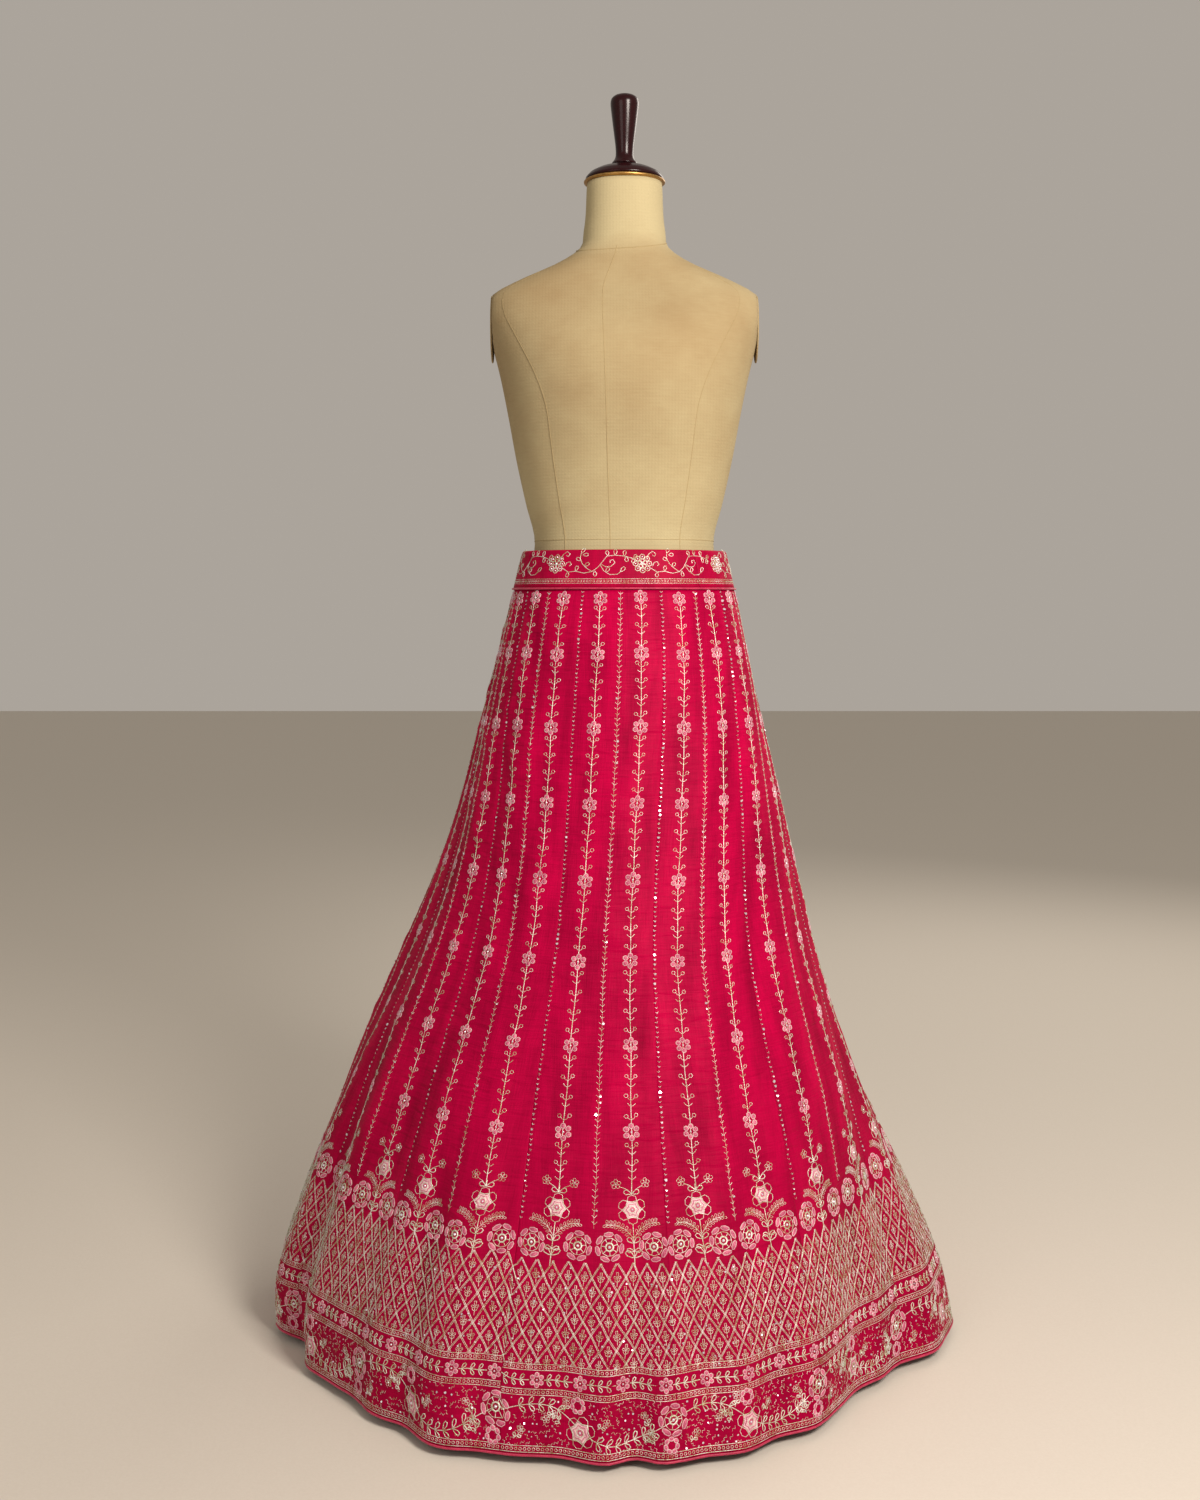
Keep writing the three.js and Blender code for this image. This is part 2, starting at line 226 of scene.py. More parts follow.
def grid_faces(rows: int, columns: int, round_columns: bool = False, round_rows: bool = False) -> Array:
    """Quads of a grid whose outer side is seen with rows going down and columns to the right.

    Args:
        rows: rows of vertices.
        columns: vertices in a row.
        round_columns: joins the last column to the first.
        round_rows: joins the last row to the first.

    Returns:
        Vertex numbers, shape (quads, 4).
    """
    index = np.arange(rows * columns).reshape(rows, columns)
    if round_columns:
        index = np.concatenate([index, index[:, :1]], axis=1)
    if round_rows:
        index = np.concatenate([index, index[:1]], axis=0)
    corners = (index[:-1, :-1], index[1:, :-1], index[1:, 1:], index[:-1, 1:])
    return np.stack(corners, axis=-1).reshape(-1, 4)


@dataclass
class SampledSurface:
    """A surface on a grid of two parameters, read back by straight-line blending between its points.

    across grows to the right and down grows downwards, both seen from outside; points are metres.
    """

    across: Array
    down: Array
    points: Array
    period: float = 0.0
    normals: Array = field(init=False)
    stretch_across: Array = field(init=False)
    stretch_down: Array = field(init=False)

    def __post_init__(self) -> None:
        """Works out the normals, and how many metres one step of each parameter is."""
        step_across = np.gradient(self.points, self.across, axis=1)
        step_down = np.gradient(self.points, self.down, axis=0)
        if self.period:
            seam = (step_across[:, 0] + step_across[:, -1]) / 2
            step_across[:, 0] = step_across[:, -1] = seam
        self.normals = normalised(np.cross(step_down, step_across))
        self.stretch_across = np.linalg.norm(step_across, axis=-1)
        self.stretch_down = np.linalg.norm(step_down, axis=-1)

    def read(self, table: Array, across: Array, down: Array) -> Array:
        """Blends a table of the grid's values at any places.

        Args:
            table: values on the grid, rows first.
            across: places along the rows.
            down: places down the columns, of the same shape.

        Returns:
            The blended values, one for each place.
        """
        if self.period:
            across = np.mod(across - self.across[0], self.period) + self.across[0]
        column = np.clip(np.searchsorted(self.across, across, side="right") - 1, 0, len(self.across) - 2)
        row = np.clip(np.searchsorted(self.down, down, side="right") - 1, 0, len(self.down) - 2)
        right = (across - self.across[column]) / (self.across[column + 1] - self.across[column])
        low = (down - self.down[row]) / (self.down[row + 1] - self.down[row])
        if table.ndim == 3:
            right, low = right[..., None], low[..., None]
        upper = table[row, column] * (1 - right) + table[row, column + 1] * right
        lower = table[row + 1, column] * (1 - right) + table[row + 1, column + 1] * right
        return upper * (1 - low) + lower * low

    def frame_at(self, across: Array, down: Array) -> tuple[Array, Array]:
        """Points and outward normals at any places."""
        return self.read(self.points, across, down), normalised(self.read(self.normals, across, down))


def closed_ends(rings: Array, top: Sequence[float], bottom: Sequence[float]) -> tuple[Array, list[Array]]:
    """Closes a stack of rings with a fan of triangles above and below.

    Args:
        rings: rows of points going down, each row running to the right seen from outside.
        top: the upper fan's middle.
        bottom: the lower fan's middle.

    Returns:
        Points and faces.
    """
    rows, steps = rings.shape[:2]
    here = np.arange(steps)
    there = np.roll(here, -1)
    low = (rows - 1) * steps
    fans = [
        np.stack([np.full(steps, rows * steps), here, there], -1),
        np.stack([np.full(steps, rows * steps + 1), low + there, low + here], -1),
    ]
    points = np.concatenate([rings.reshape(-1, 3), np.array([top, bottom], float)])
    return points, [grid_faces(rows, steps, round_columns=True), *fans]


def cloth_sheet(name: str, points: Array, right: Array, down: Array, wall: float) -> bpy.types.Object:
    """Makes a sheet of cloth with its thickness inside its face.

    Args:
        name: the piece's name.
        points: its face in metres, rows going down.
        right: metres to the right on the cut cloth, on the same grid.
        down: metres down on the cut cloth, one for each row.
        wall: its thickness in mm.

    Returns:
        The piece.
    """
    uv = np.stack([right, np.broadcast_to(down[:, None], right.shape)], -1).reshape(-1, 2)
    sheet = mesh_object(name, points.reshape(-1, 3), [grid_faces(*right.shape)], uv)
    shell = sheet.modifiers.new("cloth_thickness", "SOLIDIFY")
    shell.thickness, shell.offset = wall * MM, -1.0
    return sheet


def round_cord(name: str, path_points: Array, radius: float, sides: int) -> bpy.types.Object:
    """A closed round cord: circles square to a level closed path.

    Args:
        name: the piece's name.
        path_points: its centre line, in metres, the first point not repeated.
        radius: in mm.
        sides: points round it.

    Returns:
        The piece.
    """
    ahead = normalised(np.roll(path_points, -1, axis=0) - np.roll(path_points, 1, axis=0))
    up = np.broadcast_to(np.array([0.0, 0.0, 1.0]), ahead.shape)
    out = normalised(np.cross(ahead, up))
    t = np.linspace(0, 2 * np.pi, sides, endpoint=False)[:, None, None]
    points = path_points[None] + radius * MM * (np.cos(t) * up[None] + np.sin(t) * out[None])
    return mesh_object(name, points.reshape(-1, 3), [grid_faces(sides, len(path_points), True, True)])


# ---- Embroidery ------------------------------------------------------------------------------------------------------


@dataclass(frozen=True)
class Stroke:
    """One stroke of a motif, in mm, x to the right and y up.

    size is a cord's width or a pad's height; lift is how high it lies, over padding below it.
    """

    stitch: Stitch
    points: Array
    size: float
    closed: bool = False
    filled: bool = False
    lift: float = 0.0


@dataclass(frozen=True)
class Places:
    """Where copies of a motif go: surface parameters, a turn in degrees and a scale for each."""

    across: Array
    down: Array
    turn: Array
    scale: Array

    @staticmethod
    def at(across: Array, down: Array, turn: Array | float = 0.0, scale: Array | float = 1.0) -> "Places":
        """Places from arrays or single numbers, spread to one length."""
        return Places(*(np.ravel(v) for v in np.broadcast_arrays(across, down, turn, scale)))


def oval(x: float, y: float, half_x: float, half_y: float, turn: float = 0.0, count: int = 7) -> Array:
    """A closed oval, anticlockwise: (half_x cos t, half_y sin t), turned.

    Args:
        x: middle.
        y: middle.
        half_x: half-width before the turn.
        half_y: half-height before the turn.
        turn: degrees anticlockwise.
        count: points round it.

    Returns:
        Its points.
    """
    t = np.linspace(0, 2 * np.pi, count, endpoint=False)
    return turned(np.stack([half_x * np.cos(t), half_y * np.sin(t)], -1), turn) + (x, y)


def drop_loop(x: float, y: float, heading: float, length: float, width: float, count: int = 7) -> Array:
    """A drop-shaped loop from its point: along (1 - cos t)/2, aside sin t sin(t/2), anticlockwise.

    Args:
        x: the point where it starts.
        y: the point where it starts.
        heading: degrees anticlockwise from the right.
        length: from point to round end.
        width: at its fattest.
        count: points round it.

    Returns:
        Its points.
    """
    t = np.linspace(0, 2 * np.pi, count, endpoint=False)
    along = length * (1 - np.cos(t)) / 2
    aside = -0.65 * width * np.sin(t) * np.sin(t / 2)
    return turned(np.stack([along, aside], -1), heading) + (x, y)


def turned(points: Array, degrees: float) -> Array:
    """Points turned anticlockwise about the origin."""
    c, s = math.cos(math.radians(degrees)), math.sin(math.radians(degrees))
    return points @ np.array([[c, s], [-s, c]])


def mirrored(strokes: Iterable[Stroke]) -> list[Stroke]:
    """Adds the mirror images of strokes about the y axis.

    Args:
        strokes: one side's.

    Returns:
        Both sides' strokes, closed ones kept anticlockwise.
    """
    kept = list(strokes)
    images = [stroke.points * (-1, 1) for stroke in kept]
    flipped = [
        replace(stroke, points=image[::-1] if stroke.closed or stroke.filled else image)
        for stroke, image in zip(kept, images)
    ]
    return kept + flipped


def scaled(strokes: Iterable[Stroke], scale: float, x: float = 0.0) -> list[Stroke]:
    """Strokes scaled about the origin, then moved x mm to the right."""
    return [replace(stroke, points=stroke.points * scale + (x, 0)) for stroke in strokes]


@dataclass
class Embroidery:
    """Collects strokes laid on a surface and joins them into one piece for each kind of stitch."""

    name: str
    surface: SampledSurface
    shift: Callable[[Array, Array], Array] | None = None
    sink: float = 0.2 * MM  # how far a stroke's edges go into the ground
    crest: float = 0.55  # how high a cord's crest stands, as a part of its width
    sequin_lift: float = 0.7 * MM
    sequin_lean: float = 0.8  # the steepest tilt, as a slope
    blocks: dict[Stitch, list[tuple[Array, list[Array]]]] = field(default_factory=dict)

    def frame_at(self, across: Array, down: Array) -> tuple[Array, Array]:
        """Points and normals of the ground, moved down where the ground's parts were joined lower."""
        return self.surface.frame_at(across, down if self.shift is None else down + self.shift(across, down))

    def work(self, strokes: Sequence[Stroke], places: Places) -> None:
        """Lays a motif at many places at once.

        Args:
            strokes: the motif.
            places: where its copies go.
        """
        across_mm = self.surface.read(self.surface.stretch_across, places.across, places.down) / MM
        down_mm = self.surface.read(self.surface.stretch_down, places.across, places.down) / MM
        c, s = np.cos(np.radians(places.turn)), np.sin(np.radians(places.turn))
        for stroke in strokes:
            x, y = stroke.points[None, :, 0], stroke.points[None, :, 1]
            right = (c[:, None] * x - s[:, None] * y) * places.scale[:, None]
            up = (s[:, None] * x + c[:, None] * y) * places.scale[:, None]
            across = places.across[:, None] + right / across_mm[:, None]
            down = places.down[:, None] - up / down_mm[:, None]
            if stroke.filled:
                self.pad(stroke.stitch, across, down, stroke.size, stroke.lift)
            else:
                self.cord(stroke.stitch, across, down, stroke.size, stroke.closed, stroke.lift)

    def cord(
        self, stitch: Stitch, across: Array, down: Array, width: float, closed: bool = False, lift: float = 0.0
    ) -> None:
        """Lays cords with a raised middle: each step is two slopes that meet at a crest.

        Args:
            stitch: what they are made with.
            across: the cords' centre lines, one a row.
            down: the same, the other parameter.
            width: in mm.
            closed: joins each cord's end to its start.
            lift: how high in mm they lie, over padding.
        """
        points, normals = self.frame_at(across, down)
        points = points + normals * lift * MM
        if closed:
            ahead = np.roll(points, -1, axis=1) - np.roll(points, 1, axis=1)
        else:
            ahead = np.gradient(points, axis=1)
        side = normalised(np.cross(normals, ahead)) * width * MM / 2
        low = points - normals * self.sink
        crest = points + normals * width * MM * self.crest
        vertices = np.stack([low + side, crest, low - side], axis=2)
        index = np.arange(vertices.size // 3).reshape(vertices.shape[:3])
        here, there = (index, np.roll(index, -1, axis=1)) if closed else (index[:, :-1], index[:, 1:])
        slopes = [np.stack([here[..., k], here[..., k + 1], there[..., k + 1], there[..., k]], -1) for k in (0, 1)]
        faces = np.concatenate([slope.reshape(-1, 4) for slope in slopes])
        self.blocks.setdefault(stitch, []).append((vertices.reshape(-1, 3), [faces]))

    def pad(self, stitch: Stitch, across: Array, down: Array, height: float, base: float = 0.0) -> None:
        """Lays raised pads: the outline, a ring at 0.6 of it and the middle, at 0, 0.8 and 1 of the height.

        Args:
            stitch: what they are made with.
            across: the outlines, one a row, anticlockwise.
            down: the same, the other parameter.
            height: in mm.
            base: how high in mm its outline lies.
        """
        middle = [v.mean(axis=1, keepdims=True) for v in (across, down)]
        rings = []
        for share, lift in ((1.0, -self.sink), (0.6, 0.8 * height * MM)):
            place = [m + (v - m) * share for v, m in zip((across, down), middle)]
            points, normals = self.frame_at(*place)
            rings.append(points + normals * (lift + base * MM))
        points, normals = self.frame_at(*middle)
        rings.append(points + normals * (height + base) * MM)
        vertices = np.concatenate(rings, axis=1)
        copies, count = across.shape
        index = np.arange(copies * (2 * count + 1)).reshape(copies, 2 * count + 1)
        outer, inner = index[:, :count], index[:, count : 2 * count]
        outer_next, inner_next = np.roll(outer, -1, axis=1), np.roll(inner, -1, axis=1)
        tip = np.broadcast_to(index[:, -1:], inner.shape)
        quads = np.stack([outer, outer_next, inner_next, inner], -1).reshape(-1, 4)
        fan = np.stack([inner, inner_next, tip], -1).reshape(-1, 3)
        self.blocks.setdefault(stitch, []).append((vertices.reshape(-1, 3), [quads, fan]))

    def spangles(self, across: Array, down: Array, radius: Array, seed: int) -> None:
        """Lays flat six-sided sequins, each a little tilted so that they catch the light unevenly.

        Args:
            across: middles.
            down: middles, the other parameter.
            radius: in mm, one each.
            seed: fixes the tilts.
        """
        across, down, radius = (np.ravel(v) for v in np.broadcast_arrays(across, down, radius))
        draw = np.random.default_rng(seed)
        lean = draw.uniform(0.0, self.sequin_lean, len(across))[:, None]
        heading = draw.uniform(0.0, 2 * np.pi, len(across))[:, None]
        t = np.linspace(0, 2 * np.pi, 6, endpoint=False)[None, :]
        wide = self.surface.read(self.surface.stretch_across, across, down)[:, None]
        tall = self.surface.read(self.surface.stretch_down, across, down)[:, None]
        reach = radius[:, None] * MM
        place = (across[:, None] + reach * np.cos(t) / wide, down[:, None] - reach * np.sin(t) / tall)
        points, normals = self.frame_at(*place)
        lift = self.sequin_lift + reach * lean * np.cos(t - heading)
        vertices = points + normals * lift[..., None]
        faces = np.arange(vertices.size // 3).reshape(-1, 6)
        self.blocks.setdefault(Stitch.SPANGLE, []).append((vertices.reshape(-1, 3), [faces]))

    def pieces(self, finishes: dict[Stitch, tuple[bpy.types.Material, Slot]]) -> list[bpy.types.Object]:
        """Joins what was laid into one piece a stitch, dresses it and makes it ride.

        Args:
            finishes: the material and slot of each kind of stitch.

        Returns:
            The pieces.
        """
        made = []
        for stitch, blocks in self.blocks.items():
            offsets = np.cumsum([0] + [len(points) for points, _ in blocks])
            faces = [face + offset for (_, group), offset in zip(blocks, offsets) for face in group]
            piece = mesh_object(f"{self.name}_{stitch.value}", np.concatenate([b[0] for b in blocks]), faces)
            material, slot = finishes[stitch]
            settle(piece, material, slot)
            made.append(piece)
        return made


def settle(piece: bpy.types.Object, material: bpy.types.Material, slot: Slot, *stands_for: str) -> None:
    """Dresses a finished piece, makes it ride on the one body and hides the solids that it stands for.

    Args:
        piece: the finished piece.
        material: its finish.
        slot: the record's slot that the finish belongs to; not used.
        stands_for: solids that it replaces.
    """
    piece.data.materials.clear()
    piece.data.materials.append(material)
    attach(piece, ROOT)
    if stands_for:
        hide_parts(*stands_for)
    triangles = sum(len(p.vertices) - 2 for p in piece.data.polygons)
    log.info("%s: %d triangles", piece.name, triangles)


# ---- Finishes --------------------------------------------------------------------------------------------------------


def linear(hex_colour: str) -> tuple[float, float, float, float]:
    """Turns an sRGB colour linear: c/12.92 up to 0.04045, else ((c + 0.055)/1.055)^2.4.

    Args:
        hex_colour: such as "#BD0040".

    Returns:
        Linear red, green, blue and an alpha of 1.
    """
    parts = [int(hex_colour[i : i + 2], 16) / 255 for i in (1, 3, 5)]
    red, green, blue = (c / 12.92 if c <= 0.04045 else ((c + 0.055) / 1.055) ** 2.4 for c in parts)
    return (red, green, blue, 1.0)


def add(
    tree: bpy.types.NodeTree, kind: str, inputs: dict[str | int, object] | None = None, **settings: object
) -> bpy.types.Node:
    """Adds a node, with its settings and its inputs.

    Args:
        tree: the material's nodes.
        kind: the node's type, without its ShaderNode prefix.
        inputs: a value or another node's socket for each input.
        **settings: the node's own properties.

    Returns:
        The node.
    """
    node = tree.nodes.new("ShaderNode" + kind)
    for key, value in settings.items():
        setattr(node, key, value)
    for key, value in (inputs or {}).items():
        if isinstance(value, bpy.types.NodeSocket):
            tree.links.new(value, node.inputs[key])
        else:
            node.inputs[key].default_value = value
    return node


@dataclass(frozen=True)
class Finish:
    """A finish: two tones that a pattern mixes, its gloss, and its relief."""

    name: str
    light: str
    dark: str
    roughness: tuple[float, float]
    metallic: float = 0.0
    specular: float = 0.5
    sheen: float = 0.0
    sheen_tint: str = "#FFFFFF"
    coat: float = 0.0
    relief: float = 0.2
    relief_mm: float = 0.5
    grain_mm: float = 3.03

    def pattern(self, tree: bpy.types.NodeTree) -> Sockets:
        """Makes the pattern; a plain finish has soft grain about 3 mm across.

        Args:
            tree: the material's nodes.

        Returns:
            The tone from dark to light, and the relief.
        """
        place = add(tree, "TexCoord").outputs["Object"]
        grain = add(tree, "TexNoise", {"Vector": place, "Scale": 1000 / self.grain_mm, "Detail": 3.0})
        return grain.outputs["Fac"], grain.outputs["Fac"]

    def build(self) -> bpy.types.Material:
        """Makes the material.

        Returns:
            The material, with tone, roughness and bump all driven by its pattern.
        """
        material = bpy.data.materials.new(self.name)
        material.use_nodes = True
        tree = material.node_tree
        shader = tree.nodes["Principled BSDF"]
        tone, height = self.pattern(tree)
        tones = {"Factor": tone, 6: linear(self.dark), 7: linear(self.light)}
        colour = add(tree, "Mix", tones, data_type="RGBA")
        gloss = add(tree, "MapRange", {"Value": tone, "To Min": self.roughness[0], "To Max": self.roughness[1]})
        bump = add(tree, "Bump", {"Height": height, "Strength": self.relief, "Distance": self.relief_mm * MM})
        tree.links.new(colour.outputs[2], shader.inputs["Base Color"])
        tree.links.new(gloss.outputs["Result"], shader.inputs["Roughness"])
        tree.links.new(bump.outputs["Normal"], shader.inputs["Normal"])
        for socket, value in (
            ("Metallic", self.metallic),
            ("Specular IOR Level", self.specular),
            ("Sheen Weight", self.sheen),
            ("Sheen Roughness", 0.4),
            ("Sheen Tint", linear(self.sheen_tint)),
            ("Coat Weight", self.coat),
            ("Coat Roughness", 0.08),
        ):
            shader.inputs[socket].default_value = value
        return material


@dataclass(frozen=True)
class WovenSilk(Finish):
    """Plain-woven art silk: slubs along the weft and warp, painted shade along its creases, and painted shade that
    deepens down the cloth towards the hem.

    The real threads are about 0.15 mm apart and can't show, so the slubs are drawn 1.6 mm thick.
    """

    slub_mm: tuple[float, float] = (26.0, 1.6)  # length and thickness
    crease_mm: tuple[float, float] = (31.25, 142.9)  # long soft creases down the cloth, in the relief and as painted shade in the tone: across and down
    pucker_mm: tuple[float, float] = (41.7, 10.53)  # what the stitching draws up: across and down
    hem_shade_m: tuple[float, float] = (0.62, 0.84)  # from the waist seam to where the painted shade towards the hem starts and is full
    crease_shade_share: float = 0.6  # of the tone, painted shade along the creases
    contrast: tuple[float, float] = (0.3, 0.62)  # the pattern's values that give the dark and the light tone
    crease_relief: float = 6.0  # against a thread's 1
    pucker_relief: float = 6.5

    def pattern(self, tree: bpy.types.NodeTree) -> Sockets:
        """Makes the pattern on the cut cloth's own coordinates.

        Args:
            tree: the material's nodes.

        Returns:
            Tone: slubs over painted shade along the creases, darkened towards the hem as painted shade. Relief: slubs,
                creases, puckers.
        """
        cut = add(tree, "UVMap", uv_map="cut").outputs["UV"]
        noises = []
        for (across_mm, down_mm), detail, distortion in (
            (self.slub_mm, 2.0, 0.0),
            (self.slub_mm[::-1], 2.0, 0.0),
            (self.crease_mm, 2.0, 0.0),
            (self.pucker_mm, 1.0, 0.6),
        ):
            scale = (1000 / across_mm, 1000 / down_mm, 1.0)
            place = add(tree, "Mapping", {"Vector": cut, "Scale": scale}).outputs[0]
            settings = {"Vector": place, "Scale": 1.0, "Detail": detail, "Distortion": distortion}
            noises.append(add(tree, "TexNoise", settings).outputs["Fac"])
        weft, warp, crease, pucker = noises
        threads = add(tree, "Math", {0: weft, 1: warp}, operation="ADD").outputs[0]
        slubs = add(tree, "Math", {0: threads, 1: 0.5, 2: -0.06}, operation="MULTIPLY_ADD").outputs[0]
        # painted shade: the crease noise that raises and lowers the relief also darkens the tone in its hollows
        tone = add(tree, "Mix", {"Factor": self.crease_shade_share, 2: slubs, 3: crease}).outputs[0]
        low, high = self.contrast
        spread = add(tree, "MapRange", {"Value": tone, "From Min": low, "From Max": high}).outputs["Result"]
        down = add(tree, "SeparateXYZ", {"Vector": cut}).outputs["Y"]
        # painted shade: the tone falls to half between 0.62 m and 0.84 m down the cloth, standing in for light falling
        # off towards the hem
        start, full = self.hem_shade_m
        hem_shade_ramp = {"Value": down, "From Min": start, "From Max": full, "To Min": 1.0, "To Max": 0.5}
        hem_shade_factor = add(tree, "MapRange", hem_shade_ramp).outputs["Result"]
        shaded_tone = add(tree, "Math", {0: spread, 1: hem_shade_factor}, operation="MULTIPLY").outputs[0]
        relief = threads
        for noise, weight in ((crease, self.crease_relief), (pucker, self.pucker_relief)):
            relief = add(tree, "Math", {0: noise, 1: weight, 2: relief}, operation="MULTIPLY_ADD").outputs[0]
        return shaded_tone, relief


@dataclass(frozen=True)
class TwistedThread(Finish):
    """Embroidery thread: streaks about 0.9 mm long that change its tone, over slower changes."""

    streak_mm: float = 0.9
    drift_mm: float = 11.1
    drift_share: float = 0.4  # of the tone
    contrast: tuple[float, float] = (0.38, 0.62)

    def pattern(self, tree: bpy.types.NodeTree) -> Sockets:
        """Makes the pattern.

        Args:
            tree: the material's nodes.

        Returns:
            Tone: streaks with slow changes. Relief: the streaks.
        """
        place = add(tree, "TexCoord").outputs["Object"]
        streak, drift = (
            add(tree, "TexNoise", {"Vector": place, "Scale": 1000 / size, "Detail": 1.0}).outputs["Fac"]
            for size in (self.streak_mm, self.drift_mm)
        )
        both = add(tree, "Mix", {"Factor": self.drift_share, 2: streak, 3: drift}).outputs[0]
        spread = add(tree, "MapRange", {"Value": both, "From Min": self.contrast[0], "From Max": self.contrast[1]})
        return spread.outputs["Result"], streak


@dataclass(frozen=True)
class WovenLinen(Finish):
    """Coarse linen over padding: crossed threads drawn 4 mm apart so that they show, with a few slubs.

    It is painted paler on the neck and at the waist, as light, and painted darker over the shoulders, as shade.
    """

    thread_mm: float = 3.96
    slub_mm: tuple[float, float, float] = (16.67, 16.67, 2.0)
    cloud_mm: float = 71.4
    neck_light_m: tuple[float, float] = (1.355, 1.385)  # heights between which the painted shade over the shoulders turns to the painted light on the neck
    waist_light_m: tuple[float, float] = (1.0, 1.27)  # heights between which the painted light at the waist turns to the painted shade over the shoulders
    slub_share: float = 0.2  # of the clouds' tone
    painted_light_share: float = 0.4  # of the tone, the painted light and shade that the height on the form gives
    contrast: tuple[float, float] = (0.12, 0.68)

    def pattern(self, tree: bpy.types.NodeTree) -> Sockets:
        """Makes the pattern.

        Args:
            tree: the material's nodes.

        Returns:
            Tone: clouds of age, with painted shade over the shoulders and painted light on the neck and at the waist.
                Relief: threads across and up the form, with slubs.
        """
        place = add(tree, "TexCoord").outputs["Object"]
        bands = {"Vector": place, "Scale": WAVE_PERIOD * 1000 / self.thread_mm, "Distortion": 1.5}
        across = add(tree, "TexWave", bands, bands_direction="X").outputs["Fac"]
        upward = add(tree, "TexWave", bands, bands_direction="Z").outputs["Fac"]
        weave = add(tree, "Math", {0: across, 1: upward}, operation="MULTIPLY").outputs[0]
        slub_scale = tuple(1000 / size for size in self.slub_mm)
        slub_place = add(tree, "Mapping", {"Vector": place, "Scale": slub_scale}).outputs[0]
        slub = add(tree, "TexNoise", {"Vector": slub_place, "Scale": 1.0, "Detail": 2.0}).outputs["Fac"]
        clouds = {"Vector": place, "Scale": 1000 / self.cloud_mm, "Detail": 4.0}
        cloud = add(tree, "TexNoise", clouds).outputs["Fac"]
        height = add(tree, "SeparateXYZ", {"Vector": place}).outputs["Z"]
        steps = []
        for (low, high), below, above in ((self.neck_light_m, 0.0, 1.0), (self.waist_light_m, 0.85, 0.0)):
            step = {"Value": height, "From Min": low, "From Max": high, "To Min": below, "To Max": above}
            steps.append(add(tree, "MapRange", step).outputs["Result"])
        # painted light and shade: the tone is raised on the neck and at the waist and lowered over the shoulders, by
        # height alone
        painted_light_by_height = add(tree, "Math", dict(enumerate(steps)), operation="ADD").outputs[0]
        mottled = add(tree, "Mix", {"Factor": self.slub_share, 2: cloud, 3: slub}).outputs[0]
        tone = add(tree, "Mix", {"Factor": self.painted_light_share, 2: mottled, 3: painted_light_by_height}).outputs[0]
        spread = add(tree, "MapRange", {"Value": tone, "From Min": self.contrast[0], "From Max": self.contrast[1]})
        relief = add(tree, "Math", {0: weave, 1: slub}, operation="ADD").outputs[0]
        return spread.outputs["Result"], relief


@dataclass(frozen=True)
class Wardrobe:
    """Every material of the model, each named for the real one."""

    # Crimson art silk, plain woven and dyed in the piece: saturated, soft sheen, faint slubs.
    silk: Finish = WovenSilk(
        "silk_art_crimson_woven", "#BD0040", "#86002B", (0.62, 0.48), specular=0.04, sheen=0.1,
        sheen_tint="#FF0048", relief=0.7,
    )
    # The same silk fused to buckram for the band: flatter, a little duller.
    band: Finish = WovenSilk(
        "silk_art_crimson_stiffened", "#B00039", "#8A002C", (0.62, 0.52), specular=0.06, sheen=0.1,
        sheen_tint="#FF0048", relief=0.35,
    )
    # Viscose cord piping: brighter pink, its twist showing as small lights.
    piping: Finish = TwistedThread("viscose_piping_pink", "#C72E56", "#9F0F3D", (0.55, 0.45), sheen=0.1, relief=0.5)
    # Zari, metal strip wound on a core: cream-gold, with cold glints partly from its metal and partly painted as
    # near-white patches in its colour.
    thread: Finish = TwistedThread(
        "zari_thread_cream_gold", "#F6F9F4", "#9C9860", (0.22, 0.42), metallic=0.28, relief=0.7
    )
    # Untwisted rayon floss in satin stitch: pink, silky.
    petals: Finish = TwistedThread(
        "rayon_floss_pink", "#DE7391", "#9C284E", (0.4, 0.5), sheen=0.2, sheen_tint="#FFD0DC", relief=0.6,
        streak_mm=0.7,
    )
    # The same floss in pale pink, for the petals' outlines.
    petal_edges: Finish = TwistedThread(
        "rayon_floss_pale_pink", "#EFD3D2", "#C98396", (0.4, 0.5), sheen=0.2, relief=0.5
    )
    # Sequins cut from pearl-coated polyester film: hard small lights.
    sequins: Finish = Finish(
        "polyester_film_pearl", "#F8F4FA", "#CDB8CE", (0.2, 0.34), metallic=0.6, coat=0.4, relief=0.05
    )
    # Unbleached linen stretched over padding, yellowed, painted darker over the shoulders as shade and paler on the
    # neck as light.
    linen: Finish = WovenLinen(
        "linen_unbleached_stretched", "#B9AB85", "#98805C", (0.85, 0.92), specular=0.12, relief=0.25
    )
    # Sewing thread and turned linen edges of the form's seams.
    welt: Finish = WovenLinen("linen_seam_pressed", "#AD9A73", "#98845F", (0.85, 0.92), specular=0.15, relief=0.2)
    # Spun brass, lacquer worn thin: darker brown patches.
    gilt: Finish = Finish("brass_spun_worn", "#D2A560", "#7A5426", (0.28, 0.5), metallic=0.9, relief=0.1)
    # Turned wood under gloss lacquer, dark maroon.
    lacquer: Finish = Finish(
        "wood_turned_lacquered", "#2C070C", "#170405", (0.2, 0.3), specular=0.2, coat=0.12, relief=0.04
    )
    # Cast iron under satin black enamel.
    iron: Finish = Finish("iron_cast_enamelled", "#2C2C30", "#18181B", (0.42, 0.55), metallic=0.3, relief=0.25)
    # Painted plaster floor of the studio.
    floor: Finish = Finish("plaster_floor_pale", "#DAD3C8", "#D2CABE", (0.7, 0.8), specular=0.2, relief=0.02)

    def build(self) -> dict[str, bpy.types.Material]:
        """Makes every material once, by field name."""
        return {name: finish.build() for name, finish in vars(self).items()}


# ---- The skirt's cloth -----------------------------------------------------------------------------------------------


@dataclass(frozen=True)
class Fold:
    """One large fold: its middle and half-width in units, depth in mm outwards, where it begins and is full."""

    unit: float
    half: float
    depth: float
    starts: float
    full: float


